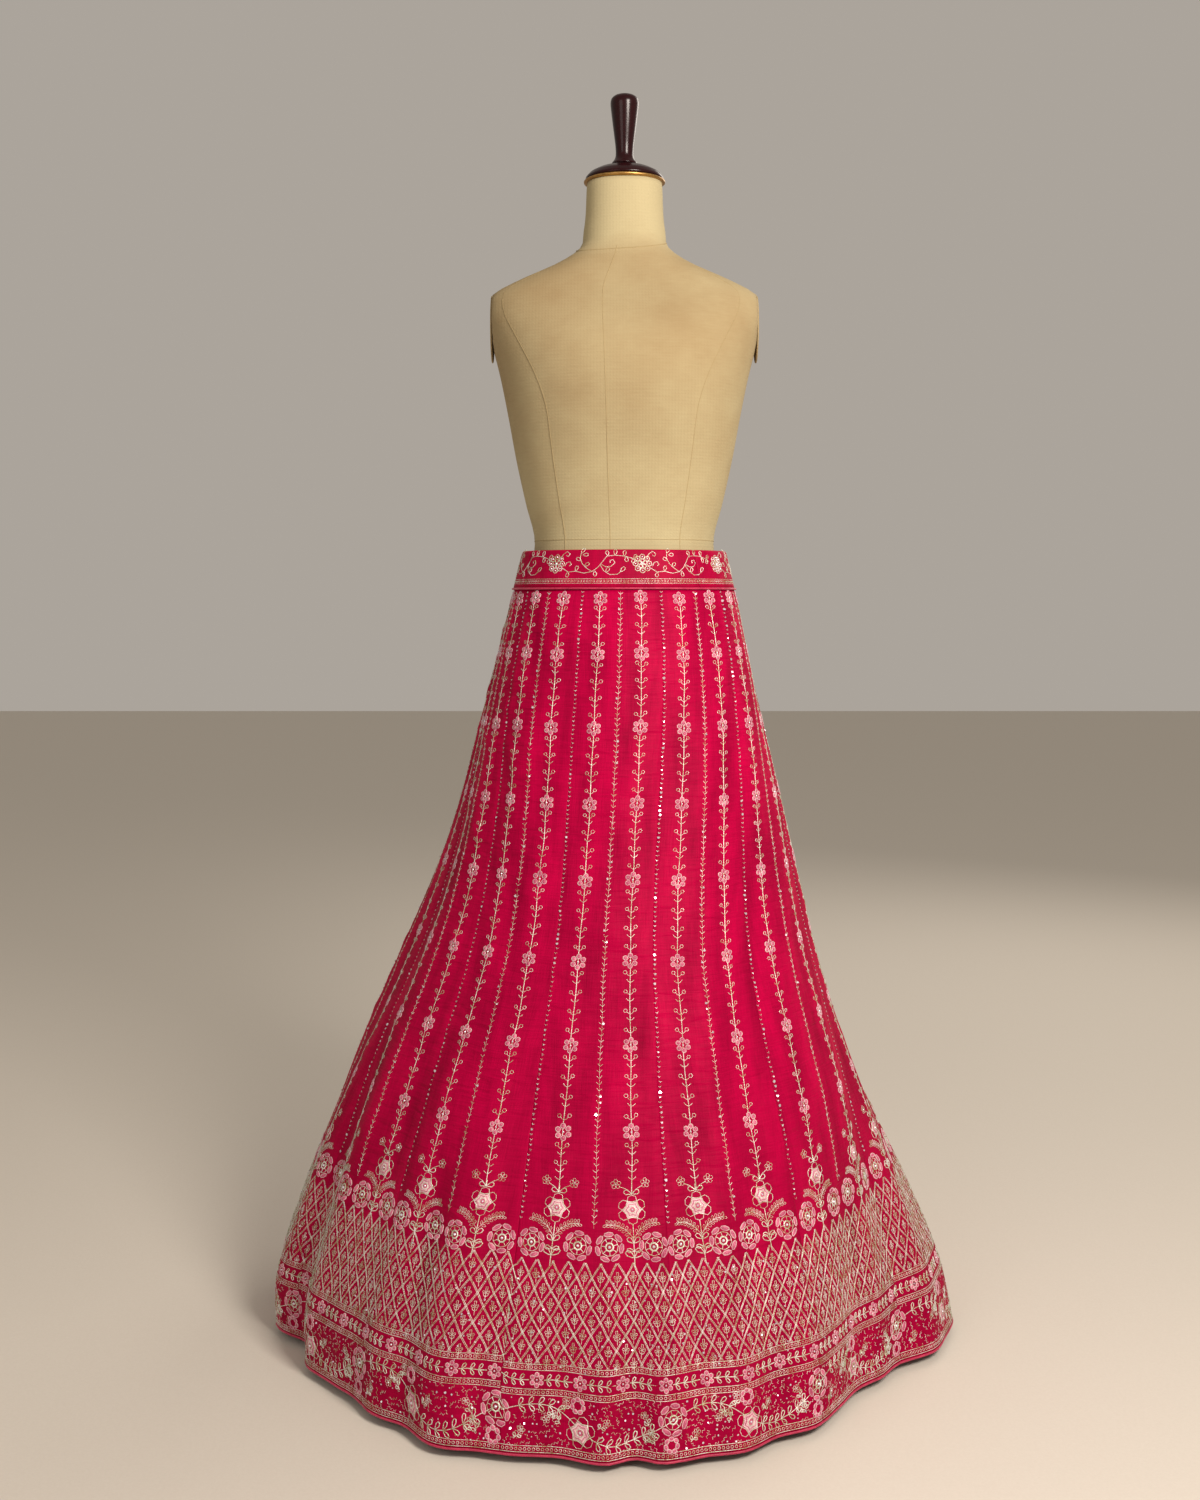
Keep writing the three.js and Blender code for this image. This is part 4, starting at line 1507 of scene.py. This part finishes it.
@dataclass
class SkirtEmbroidery:
    """Vines down the gores, roses at their feet, a lattice, and the flowered borders at the hem."""

    surface: SampledSurface
    flower_drops: tuple[float, ...] = (0.0112, 0.0845, 0.1795, 0.2750, 0.3690, 0.4647, 0.5613, 0.6578)
    rose_drop: float = 0.7395
    open_rose_drop: float = 0.778
    shares: tuple[tuple[float, ...], ...] = (  # where ring pairs and twigs lie between two flowers
        (0.146, 0.37, 0.6, 0.825), (0.26, 0.485, 0.71),
    )
    short_shares: tuple[tuple[float, ...], ...] = ((0.18, 0.5, 0.82), (0.35, 0.66))  # between the upper two, closer
    stem_gap: float = 0.0165  # drop between a vine's end and the middle of its rose
    line_end: float = 0.759
    twig_step: float = 0.0068  # drop from one pair of a middle line's twigs to the next
    sequin_step: float = 0.0056
    lattice: tuple[float, float, int] = (0.795, 0.9035, 5)  # drop of its top and bottom, diamonds in a unit
    diamond_drop: float = 0.0303  # a diamond's height, as drop
    diamond_rows: int = 7
    pair_half: float = 0.0075  # units from the middle of a pair of the lattice's threads to each
    chains: tuple[tuple[float, float], ...] = ((0.9075, 6.2), (0.934, 6.2), (0.9943, 6.6))  # drop, height in mm
    flower_band: float = 0.921
    flower_pitch: float = 48.0  # mm from one flower of the band to the next
    gore_shift: tuple[float, ...] = (0, 1.0, -0.5, 1.5, 0, -1.5, 1.0, 0.5, -1.0, 1.5, -0.5, -2.5, -5.0, 0)  # mm down
    seam_side: float = 0.03  # units from a seam to its sequins, on its right
    hem_slip: float = -0.05  # units from a seam to the start of the hem's repeat, which is two units long
    hem_rose: tuple[float, float] = (0.0, 0.9575)  # in units from the repeat's start, and drop
    hem_star: tuple[float, float] = (0.95, 0.972)
    hem_rings: tuple[tuple[float, float], ...] = ((0.0, 0.9835), (0.92, 0.9445))
    ring_slips: tuple[float, ...] = (-0.03, 0.0)  # units from the middle of each ring's clearing to the ring
    rose_clearing: float = 0.17  # units each side of a rose where the garland has no leaves
    leaf_pitch: float = 11.0  # mm from one pair of the garland's leaves to the next
    hem_sprigs: tuple[tuple[float, float, float], ...] = (  # units, drop, degrees
        (-0.22, 0.9835, 40), (0.2, 0.9835, -20), (0.72, 0.967, 60), (0.76, 0.953, 10),
        (1.14, 0.9655, -35), (1.66, 0.9835, -10), (1.72, 0.966, 50), (0.66, 0.955, 150),
    )
    garland: tuple[tuple[float, float], ...] = (  # from one large rose to the next: units, drop
        (0.0, 0.9575), (0.16, 0.9515), (0.32, 0.9475), (0.5, 0.9465), (0.66, 0.950), (0.8, 0.958), (0.9, 0.9655),
        (1.05, 0.9755), (1.2, 0.9815), (1.36, 0.984), (1.54, 0.9805), (1.7, 0.973), (1.84, 0.9655), (2.0, 0.9575),
    )

    def shift(self, unit: Array, drop: Array) -> Array:
        """By how much each gore's borders were joined lower than they were drawn; nothing at the hem's edge.

        Args:
            unit: places round the skirt.
            drop: 0 at the waist seam to 1 at the hem.

        Returns:
            The shift, as drop.
        """
        gore = np.floor(np.mod(unit, UNITS) / 2).astype(int) % GORES
        return np.array(self.gore_shift)[gore] / CUT_LENGTH * ease(0.78, 0.8, drop) * (1 - ease(0.955, 0.99, drop))

    def vines(self) -> Embroidery:
        """Works a stem down the middle of each unit, with flowers, ring pairs and twigs.

        Returns:
            The work.
        """
        work = Embroidery("vine", self.surface)
        draw = np.random.default_rng(Seed.VINES)
        slip = draw.uniform(-0.0015, 0.0015, UNITS)
        drop = np.linspace(0.004, self.rose_drop - self.stem_gap, 72)
        wobble = 0.008 * np.sin(drop[None, :] * 60 + VINES[:, None] * 2.1)
        work.cord(Stitch.METAL, VINES[:, None] + wobble, np.broadcast_to(drop, wobble.shape), 1.0)
        rings, twigs = [], []
        starts, ends = self.flower_drops[:-1], self.flower_drops[1:]
        for number, (start, end) in enumerate(zip(starts, ends)):
            ring_shares, twig_shares = self.short_shares if number == 0 else self.shares
            rings += [start + (end - start) * share for share in ring_shares]
            twigs += [start + (end - start) * share for share in twig_shares]
        last = self.flower_drops[-1]
        rings += [last + 0.0145, last + 0.033]
        twigs += [last + 0.024, last + 0.043, last + 0.051]
        for strokes, drops in ((ring_pair(), rings), (twig_pair(), twigs), (vine_flower(), self.flower_drops)):
            across, down = np.meshgrid(VINES, np.array(drops))
            turn = draw.uniform(-7, 7, across.shape)
            scale = draw.uniform(0.93, 1.07, across.shape)
            work.work(strokes, Places.at(across, down + slip[None, :], turn, scale))
        return work

    def lines(self) -> Embroidery:
        """Works what lies between the vines: twigged stems down the gores' middles, sequins down their seams.

        Returns:
            The work.
        """
        work = Embroidery("line", self.surface)
        draw = np.random.default_rng(Seed.LINES)
        middles = SEAMS + 1.0
        drop = np.linspace(0.003, self.line_end, 76)
        wobble = 0.008 * np.sin(drop[None, :] * 75 + middles[:, None])
        work.cord(Stitch.METAL, middles[:, None] + wobble, np.broadcast_to(drop, wobble.shape), 0.4)
        across, down = np.meshgrid(middles, np.arange(0.006, self.line_end, self.twig_step))
        turn = draw.uniform(-12, 12, across.shape)
        work.work(line_twigs(), Places.at(across, down, turn, draw.uniform(0.85, 1.15, across.shape)))
        chosen = draw.random(across.shape) < 0.16
        beside = across[chosen] + 0.03 * draw.choice([-1, 1], chosen.sum())
        work.spangles(beside, down[chosen], draw.uniform(0.9, 1.5, chosen.sum()), Seed.LINE_SPANGLES)
        across, down = np.meshgrid(SEAMS + self.seam_side, np.arange(0.004, self.line_end, self.sequin_step))
        across = across + draw.uniform(-0.012, 0.012, across.shape)
        bright = draw.random(across.shape) < 0.08 + 0.28 * np.sin(down * 17 + across * 3) ** 4
        for chosen, low, high, seed in (
            (bright, 1.2, 1.8, Seed.BRIGHT_SEQUINS), (~bright, 0.55, 0.85, Seed.DULL_SEQUINS),
        ):
            work.spangles(across[chosen], down[chosen], draw.uniform(low, high, chosen.sum()), seed)
        work.work(seam_tick(), Places.at(across, down, draw.uniform(-20, 20, across.shape)))
        return work

    def feet(self) -> Embroidery:
        """Works the rose, fronds and small flowers at each vine's foot, and an open rose each side of it.

        Returns:
            The work.
        """
        work = Embroidery("foot", self.surface)
        draw = np.random.default_rng(Seed.FEET)
        work.work(rose_foot(), Places.at(VINES, self.rose_drop, draw.uniform(-3, 3, UNITS)))
        for side in (-1, 1):
            places = Places.at(VINES + side * 0.3, self.open_rose_drop, draw.uniform(-20, 20, UNITS))
            work.work(open_rose(16.2), places)
        return work

    def trellis(self) -> Embroidery:
        """Works crossing pairs of threads from a zigzag top, with a sprig and loose sequins in each diamond.

        Returns:
            The work.
        """
        work = Embroidery("lattice", self.surface, shift=self.shift)
        top, bottom, per_unit = self.lattice
        count = UNITS * per_unit
        peak = (np.arange(count) + 0.5) / per_unit - UNITS / 2
        drop = np.linspace(top, bottom, 15)
        half_width, half_drop = 0.5 / per_unit, self.diamond_drop / 2
        run = (drop - top) / half_drop * half_width
        for side in (-1, 1):
            for offset in (-self.pair_half, self.pair_half):
                waver = 0.009 * np.sin(drop[None, :] * 140 + 2.3 * np.arange(count)[:, None] + side)
                across = peak[:, None] + side * run[None, :] + offset + waver
                work.cord(Stitch.METAL, wrap_unit(across), np.broadcast_to(drop, across.shape), 0.72)
        draw = np.random.default_rng(Seed.TRELLIS)
        sprigs = []
        for row in range(self.diamond_rows):
            middle = top + half_drop * (row + 1)
            places = wrap_unit(peak + (row % 2) * half_width)
            sprigs.append(Places.at(places, middle + 0.001, draw.uniform(-8, 8, count), 1.0))
        joined = Places(*(np.concatenate(rows) for rows in zip(*(vars(places).values() for places in sprigs))))
        work.work(lattice_sprig(), joined)
        count = len(joined.across)
        near = np.repeat(np.arange(count), 2)[draw.random(2 * count) < 0.7]
        work.spangles(
            joined.across[near] + draw.uniform(-0.08, 0.08, len(near)),
            joined.down[near] + draw.uniform(-0.012, 0.012, len(near)),
            draw.uniform(0.6, 1.2, len(near)),
            Seed.TRELLIS_SPANGLES,
        )
        return work

    def chain(self, work: Embroidery, drop: float, height: float) -> None:
        """Works a border of two cords with a row of small rings between them, gore by gore.

        Args:
            work: where it is laid.
            drop: of its middle.
            height: in mm, from one cord to the other.
        """
        half = height / 2 / CUT_LENGTH
        for gore in range(GORES):
            across = np.linspace(0.004, 1.996, 44) + gore * 2 - UNITS / 2
            for side in (-1, 1):
                work.cord(Stitch.METAL, across[None, :], np.full((1, 44), drop + side * half), 0.85)
            work.work([ring(0, 0, 1.6, 0.7)], spaced(self.surface, across, np.full(44, drop), 4.9))

    def borders(self) -> Embroidery:
        """Works the three chains, and the band of flowers between the upper two.

        Returns:
            The work.
        """
        work = Embroidery("border", self.surface, shift=self.shift)
        for drop, height in self.chains:
            self.chain(work, drop, height)
        across = np.linspace(-UNITS / 2, UNITS / 2, 600)
        flowers = spaced(self.surface, across, np.full(600, self.flower_band), self.flower_pitch)
        work.work(scaled(vine_flower(), 0.86), flowers)
        work.work(band_garland(), flowers)
        return work

    def hem(self) -> Embroidery:
        """Works roses along the hem joined by a garland, with squiggles and sequins between them.

        Returns:
            The work.
        """
        work = Embroidery("hem", self.surface, shift=self.shift)
        repeat = SEAMS + self.hem_slip
        across, down = bent(np.array(self.garland), 90)
        work.cord(Stitch.METAL, repeat[:, None] + across[None, :], np.broadcast_to(down, (GORES, 90)), 1.0)
        front = self.hem_slip - 2  # the repeat whose steps are measured and used in all
        every = spaced(self.surface, across + front, down, self.leaf_pitch)
        along = every.across - front
        to_rose = np.minimum(np.mod(along, 2), 2 - np.mod(along, 2))
        clear = np.minimum(to_rose, np.abs(along - self.hem_star[0])) > self.rose_clearing
        for start in repeat:
            steps = Places.at(every.across[clear] + (start - front), every.down[clear], every.turn[clear])
            work.work(leaf_step(), steps)
        draw = np.random.default_rng(Seed.HEM)
        for strokes, (unit, drop) in ((open_rose(17.0), self.hem_rose), (star_rose(17.0, 12.2), self.hem_star)):
            work.work(strokes, Places.at(repeat + unit, drop, draw.uniform(-15, 15, GORES)))
        for (unit, drop), slip in zip(self.hem_rings, self.ring_slips):
            work.work(ring_flower(), Places.at(repeat + unit + slip, drop))
        for unit, drop, turn in self.hem_sprigs:
            work.work(hem_sprig(), Places.at(repeat + unit, drop, turn, 0.8))
        self.filling(work, across, down)
        return work

    def filling(self, work: Embroidery, across: Array, down: Array) -> None:
        """Squiggles and sequins over the hem's ground, kept off the garland and the roses.

        Args:
            work: where they are laid.
            across: one repeat of the garland.
            down: the same, the other parameter.
        """
        draw = np.random.default_rng(Seed.FILLING)
        per_unit, rows = 14, 8
        columns = np.arange(UNITS * per_unit) / per_unit - UNITS / 2
        unit, drop = np.meshgrid(columns, np.linspace(0.9415, 0.9885, rows))
        unit = (unit + 0.035 * (np.arange(rows)[:, None] % 2) + draw.uniform(-0.02, 0.02, unit.shape)).ravel()
        drop = (drop + draw.uniform(-0.0022, 0.0022, drop.shape)).ravel()
        local = np.mod(unit - self.hem_slip + UNITS, 2)
        taken = [(x, y, 7.0) for x, y in zip(across[::3], down[::3])]  # units, drop and reach in mm
        for places, reach in (((self.hem_rose, self.hem_star), 19.0), (self.hem_rings, 10.0)):
            taken += [(x + again, y, reach) for x, y in places for again in (0, 2)]
        free = np.ones(len(unit), bool)
        for x, y, reach in taken:
            free &= np.hypot((local - x) * UNIT_AT_HEM, (drop - y) * CUT_LENGTH) > reach
        unit, drop = unit[free], drop[free]
        sequin = draw.random(len(unit)) < 0.2
        turn = draw.uniform(0, 180, len(unit))[~sequin]
        scale = draw.uniform(0.75, 1.1, len(turn))
        work.work(squiggle(), Places.at(unit[~sequin], drop[~sequin], turn, scale))
        work.spangles(unit[sequin], drop[sequin], draw.uniform(0.7, 1.3, sequin.sum()), Seed.FILLING_SPANGLES)


@dataclass
class BandEmbroidery:
    """Clusters of rings round the waistband, a scroll from each to the next, and a chain below them."""

    surface: SampledSurface
    clusters: int = 7
    length: float = 774.0  # mm round the band
    first_degrees: float = 9.0
    level: float = 0.36
    chain_level: float = 0.8
    chain_half: float = 0.056
    steps: int = 721

    def build(self) -> Embroidery:
        """Works the whole band.

        Returns:
            The work.
        """
        work = Embroidery("waistband", self.surface)
        pitch = self.length / self.clusters
        degrees = np.linspace(0, 360, self.steps) + self.first_degrees
        middles = spaced(self.surface, degrees, np.full(self.steps, self.level), pitch, 0.0)
        work.work(blossom_cluster(), middles)
        work.work(band_scroll(pitch), middles)
        level = np.full(self.steps, self.chain_level)
        for side in (-1, 1):
            work.cord(Stitch.METAL, degrees[None, ::3], level[None, ::3] + side * self.chain_half, 0.7)
        work.work([ring(0, 0, 1.3, 0.6)], spaced(self.surface, degrees, level, 4.2))
        return work


# ---- The dress form --------------------------------------------------------------------------------------------------


def softened(profile: Array, reach: float, steps: int = 5) -> Array:
    """A profile with each corner replaced by a quadratic curve that starts and ends reach mm from it.

    Args:
        profile: radius and height of each corner, the first and last on the axis.
        reach: in mm, at most 0.45 of the way to the next corner.
        steps: points on each curve.

    Returns:
        The softer profile.
    """
    before, corner, after = profile[:-2], profile[1:-1], profile[2:]
    ends = []
    for other in (before, after):
        way = other - corner
        share = np.minimum(reach / np.linalg.norm(way, axis=1), 0.45)[:, None]
        ends.append(corner + way * share)
    t = np.linspace(0, 1, steps)[None, :, None]
    curve = (1 - t) ** 2 * ends[0][:, None] + 2 * t * (1 - t) * corner[:, None] + t * t * ends[1][:, None]
    return np.concatenate([profile[:1], curve.reshape(-1, 2), profile[-1:]])


def revolve(profile: Array, steps: int = 96) -> tuple[Array, list[Array]]:
    """A closed turned shape: x = r sin a, y = -r cos a, between two points on the axis.

    Args:
        profile: radius and height from the foot up, in mm.
        steps: points round it.

    Returns:
        Points in mm and faces.
    """
    downwards = profile[::-1]
    body = downwards[1:-1]
    a = np.linspace(0, 2 * np.pi, steps, endpoint=False)[None, :]
    height = np.broadcast_to(body[:, 1:], (len(body), steps))
    rings = np.stack([body[:, :1] * np.sin(a), -body[:, :1] * np.cos(a), height], -1)
    return closed_ends(rings, (0, 0, downwards[0, 1]), (0, 0, downwards[-1, 1]))


@dataclass(frozen=True)
class Turning:
    """A turned piece: its solid, finish and slot, how soft its corners are in mm, and its profile from the foot up."""

    node: str
    finish: str
    slot: Slot
    soft: float
    profile: tuple[tuple[float, float], ...]


@dataclass(frozen=True)
class Plate:
    """An oval armhole plate, in mm."""

    thickness: float = 3.0
    half_depth: float = 30.0
    half_height: float = 42.0
    height: float = 1272.0
    set_back: float = 4.0
    soft: float = 0.9


@dataclass
class DressForm:
    """The limbless form: a linen torso with its seams, armhole plates, and the turned pieces."""

    outline: Outline = Outline(
        (715, 722, 760, 810, 860, 905, 950, 1003, 1050, 1105, 1160, 1210, 1255, 1290, 1313, 1333, 1350, 1362, 1371,
         1392, 1452),
        {
            "half": (126, 140, 153, 156, 148, 137, 125, 115, 126, 138, 148, 158, 169, 176, 168, 130, 90, 68, 57, 52,
                     47.5),
            "front": (98, 108, 118, 121, 115, 104, 96, 91, 97, 108, 124, 131, 120, 96, 78, 66, 58, 54, 51, 50, 47),
            "back": (108, 120, 134, 138, 127, 110, 97, 86, 88, 94, 99, 102, 103, 98, 89, 78, 67, 60, 54, 51, 47),
        },
    )
    armhole_x: float = 167.0
    bottom: float = 715.0
    neck_top: float = 1452.0
    steps: int = 120
    seam_width: float = 1.3
    plate: Plate = Plate()
    turnings: tuple[Turning, ...] = (
        Turning("neck_rim", "gilt", Slot.GILT, 0.8, (
            (0, 1452.3), (49, 1452.3), (51.5, 1453.3), (51.5, 1455.3), (50, 1456.3), (0, 1456.3))),
        Turning("neck_cap", "lacquer", Slot.LACQUER, 2.5, (
            (0, 1456.6), (49, 1456.6), (49.5, 1459.6), (44, 1465.6), (33, 1471.1), (20, 1474.6), (15, 1475.6),
            (0, 1475.6))),
        Turning("knob", "lacquer", Slot.LACQUER, 9.0, (
            (0, 1475.9), (16, 1475.9), (16.5, 1477.9), (13, 1481.9), (11, 1486.9), (11.3, 1497.9), (14.5, 1521.9),
            (17.5, 1545.9), (18, 1552.9), (16.5, 1557.9), (11, 1561.9), (0, 1562.9))),
        Turning("pole", "iron", Slot.IRON, 3.0, (
            (0, 26.3), (30, 26.3), (30, 38.3), (16, 52.3), (16, 694.7), (45, 702.7), (45, 714.7), (0, 714.7))),
        Turning("base", "iron", Slot.IRON, 4.0, (
            (0, 0), (190, 0), (190, 8), (180, 14), (60, 24), (40, 26), (0, 26))),
    )

    def surface(self) -> SampledSurface:
        """Works out the torso: x = sign |sin a|^0.9 half, cut off at the armholes, y = -sign |cos a|^0.9 depth.

        Returns:
            The linen's outer face.
        """
        degrees = np.linspace(-180, 180, self.steps + 1)
        down = np.concatenate([
            np.linspace(0, 0.21, 22), np.linspace(0.225, 0.9, 46), np.linspace(0.91, 0.985, 8), [0.9905, 1.0],
        ])
        across, level = np.meshgrid(degrees, down)
        height = self.neck_top + (self.bottom - self.neck_top) * level
        right, front = np.sin(np.radians(across)), np.cos(np.radians(across))
        half = self.outline.read("half", height)
        depth = np.where(front > 0, self.outline.read("front", height), self.outline.read("back", height))
        x = np.clip(np.sign(right) * np.abs(right) ** 0.9 * half, -self.armhole_x, self.armhole_x)
        y = -np.sign(front) * np.abs(front) ** 0.9 * depth
        points = np.stack([x, y, height], -1) * MM
        points[:, -1] = points[:, 0]
        return SampledSurface(degrees, down, points, period=360.0)

    def torso(self, surface: SampledSurface, linen: bpy.types.Material) -> bpy.types.Object:
        """Makes the torso and neck, closed flat above and below.

        Args:
            surface: the linen's face.
            linen: the finish.

        Returns:
            The piece.
        """
        rings = surface.points[:, :-1]
        points, faces = closed_ends(rings, (0, 0, rings[0, 0, 2]), (0, 0, rings[-1, 0, 2]))
        piece = mesh_object("form_torso_linen", points, faces)
        settle(piece, linen, Slot.LINEN, FORM)
        return piece

    def seams(self, surface: SampledSurface) -> Embroidery:
        """Works the pressed seams: middle front and back, two a side, round the neck's foot and the waist.

        Args:
            surface: the linen's face.

        Returns:
            The work.
        """
        work = Embroidery("form_seam", surface)
        total = self.neck_top - self.bottom

        def down_from(height: Array | float) -> Array:
            """A height in mm as the surface's second parameter."""
            return (self.neck_top - np.asarray(height, float)) / total

        upright = np.linspace(1366, 722, 70)
        for degrees in (-7.5, 180.0):
            work.cord(Stitch.SEAM, np.full((1, 70), degrees), down_from(upright)[None], self.seam_width)
        shoulder = np.linspace(1338, 722, 66)
        for side, foot, head in ((-1, 38, 62), (1, 34, 55), (-1, 142, 120), (1, 146, 122)):
            bend = foot + (head - foot) * ease(1150, 1340, shoulder)
            work.cord(Stitch.SEAM, side * bend[None], down_from(shoulder)[None], self.seam_width)
        circle = np.linspace(-180, 180, 121)
        neck = 1374 - 11 * np.cos(np.radians(circle)) + 5 * np.sin(np.radians(circle))
        for level, width in ((neck, 1.8), (np.full(121, 1003.0), 1.2)):
            work.cord(Stitch.SEAM, circle[None], down_from(level)[None], width)
        return work

    def armhole_plates(self, linen: bpy.types.Material) -> None:
        """Makes two oval plates with soft edges.

        Args:
            linen: the finish.
        """
        plate = self.plate
        corners = np.array([(0, 0), (1, 0), (1, plate.thickness), (0, plate.thickness)], float)
        profile = softened(corners, plate.soft)
        profile[:, 0] = np.clip(profile[:, 0], 0, 1)
        for name, side in (("left", -1), ("right", 1)):
            shape, faces = revolve(profile, 72)
            x = side * (self.armhole_x + shape[:, 2])
            y = plate.set_back + side * shape[:, 0] * plate.half_depth
            z = plate.height + shape[:, 1] * plate.half_height
            piece = mesh_object(f"armhole_plate_{name}_linen", np.stack([x, y, z], -1) * MM, faces)
            settle(piece, linen, Slot.LINEN, f"armhole_plate_{name}")

    def turned(self, materials: dict[str, bpy.types.Material]) -> None:
        """Makes the neck's rim and cap, the knob, the pole and the base, with soft corners.

        Args:
            materials: every finish, by name.
        """
        for part in self.turnings:
            points, faces = revolve(softened(np.array(part.profile, float), part.soft))
            piece = mesh_object(f"{part.node}_turned", points * MM, faces)
            settle(piece, materials[part.finish], part.slot, part.node)

    def build(self, materials: dict[str, bpy.types.Material]) -> None:
        """Makes every piece of the form.

        Args:
            materials: every finish, by name.
        """
        surface = self.surface()
        self.torso(surface, materials["linen"])
        self.seams(surface).pieces({Stitch.SEAM: (materials["welt"], Slot.LINEN)})
        self.armhole_plates(materials["linen"])
        self.turned(materials)


# ---- Camera, lights and floor ----------------------------------------------------------------------------------------


@dataclass(frozen=True)
class Lamp:
    """A soft square lamp: its place and side in metres, its power in watts, its colour."""

    name: str
    place: tuple[float, float, float]
    size: float
    power: float
    colour: str


@dataclass
class Studio:
    """A pale floor, a pale warm room, and soft lights; the key stands to the right in front."""

    eye: tuple[float, float, float] = (-0.031, -2.2, 0.928)
    pitch_degrees: float = 5.06
    lens: float = 40.66
    floor_half: float = 12.0
    room_colour: str = "#F2E8DC"
    room_strength: float = 0.46
    aim: tuple[float, float, float] = (0.0, 0.0, 0.8)  # where the lamps point, the skirt's middle
    lamps: tuple[Lamp, ...] = (
        Lamp("key", (0.95, -1.75, 1.9), 0.7, 56.0, "#FFF6EC"),
        Lamp("fill", (-1.4, -2.4, 1.7), 1.2, 8.5, "#FFF6F0"),
        Lamp("back", (1.6, 2.4, 2.2), 1.6, 26.0, "#FFF6EC"),
    )

    def camera(self) -> None:
        """Sets up the camera, level from side to side and tipped a little down."""
        camera = bpy.data.objects.new("camera", bpy.data.cameras.new("camera"))
        camera.data.sensor_width, camera.data.lens = 36.0, self.lens
        camera.location = self.eye
        camera.rotation_euler = (math.radians(90 - self.pitch_degrees), 0, 0)
        bpy.context.scene.collection.objects.link(camera)
        bpy.context.scene.camera = camera

    def room(self, floor_finish: bpy.types.Material) -> None:
        """Makes the floor, a millimetre below the base, and the room's even light.

        Args:
            floor_finish: the floor's material.
        """
        corners = np.array([(x, y, 0.0) for x, y in ((-1, -1), (1, -1), (1, 1), (-1, 1))]) * self.floor_half
        floor = mesh_object("studio_floor", corners - (0, 0, MM), [np.array([[0, 1, 2, 3]])])
        floor.data.materials.append(floor_finish)
        world = bpy.data.worlds.new("studio")
        world.use_nodes = True
        background = world.node_tree.nodes["Background"]
        background.inputs["Color"].default_value = linear(self.room_colour)
        background.inputs["Strength"].default_value = self.room_strength
        bpy.context.scene.world = world
        bpy.context.scene.view_settings.view_transform = "Standard"

    def light(self) -> None:
        """Sets up the lamps, each turned so that it points at the aim."""
        for lamp in self.lamps:
            light = bpy.data.lights.new(lamp.name, "AREA")
            light.size, light.energy, light.color = lamp.size, lamp.power, linear(lamp.colour)[:3]
            stand = bpy.data.objects.new(lamp.name, light)
            x, y, z = np.array(lamp.place) - self.aim
            stand.location = lamp.place
            stand.rotation_euler = (math.atan2(math.hypot(x, y), z), 0, math.atan2(y, x) + math.pi / 2)
            bpy.context.scene.collection.objects.link(stand)


def main() -> None:
    """Builds the stage, the dress form, the skirt and its embroidery."""
    logging.basicConfig(level=logging.INFO, format="%(name)s: %(message)s")
    studio = Studio()
    studio.camera()
    materials = Wardrobe().build()
    studio.room(materials["floor"])
    studio.light()
    stitches = {
        Stitch.METAL: (materials["thread"], Slot.THREAD),
        Stitch.PINK: (materials["petals"], Slot.PETALS),
        Stitch.PALE_PINK: (materials["petal_edges"], Slot.PETALS),
        Stitch.SPANGLE: (materials["sequins"], Slot.SEQUINS),
    }
    DressForm().build(materials)

    skirt = Skirt()
    cloth = skirt.surface()
    gores = skirt.build(cloth, materials["silk"])
    sewing = SkirtEmbroidery(cloth)
    on_skirt = []
    for work in (sewing.vines(), sewing.lines(), sewing.feet(), sewing.trellis(), sewing.borders(), sewing.hem()):
        on_skirt += work.pieces(stitches)
    skirt.piping(cloth, materials["piping"])

    band = Waistband()
    band.build(materials["band"], materials["piping"])
    BandEmbroidery(band.surface()).build().pieces(stitches)


if __name__ == "__main__":
    main()
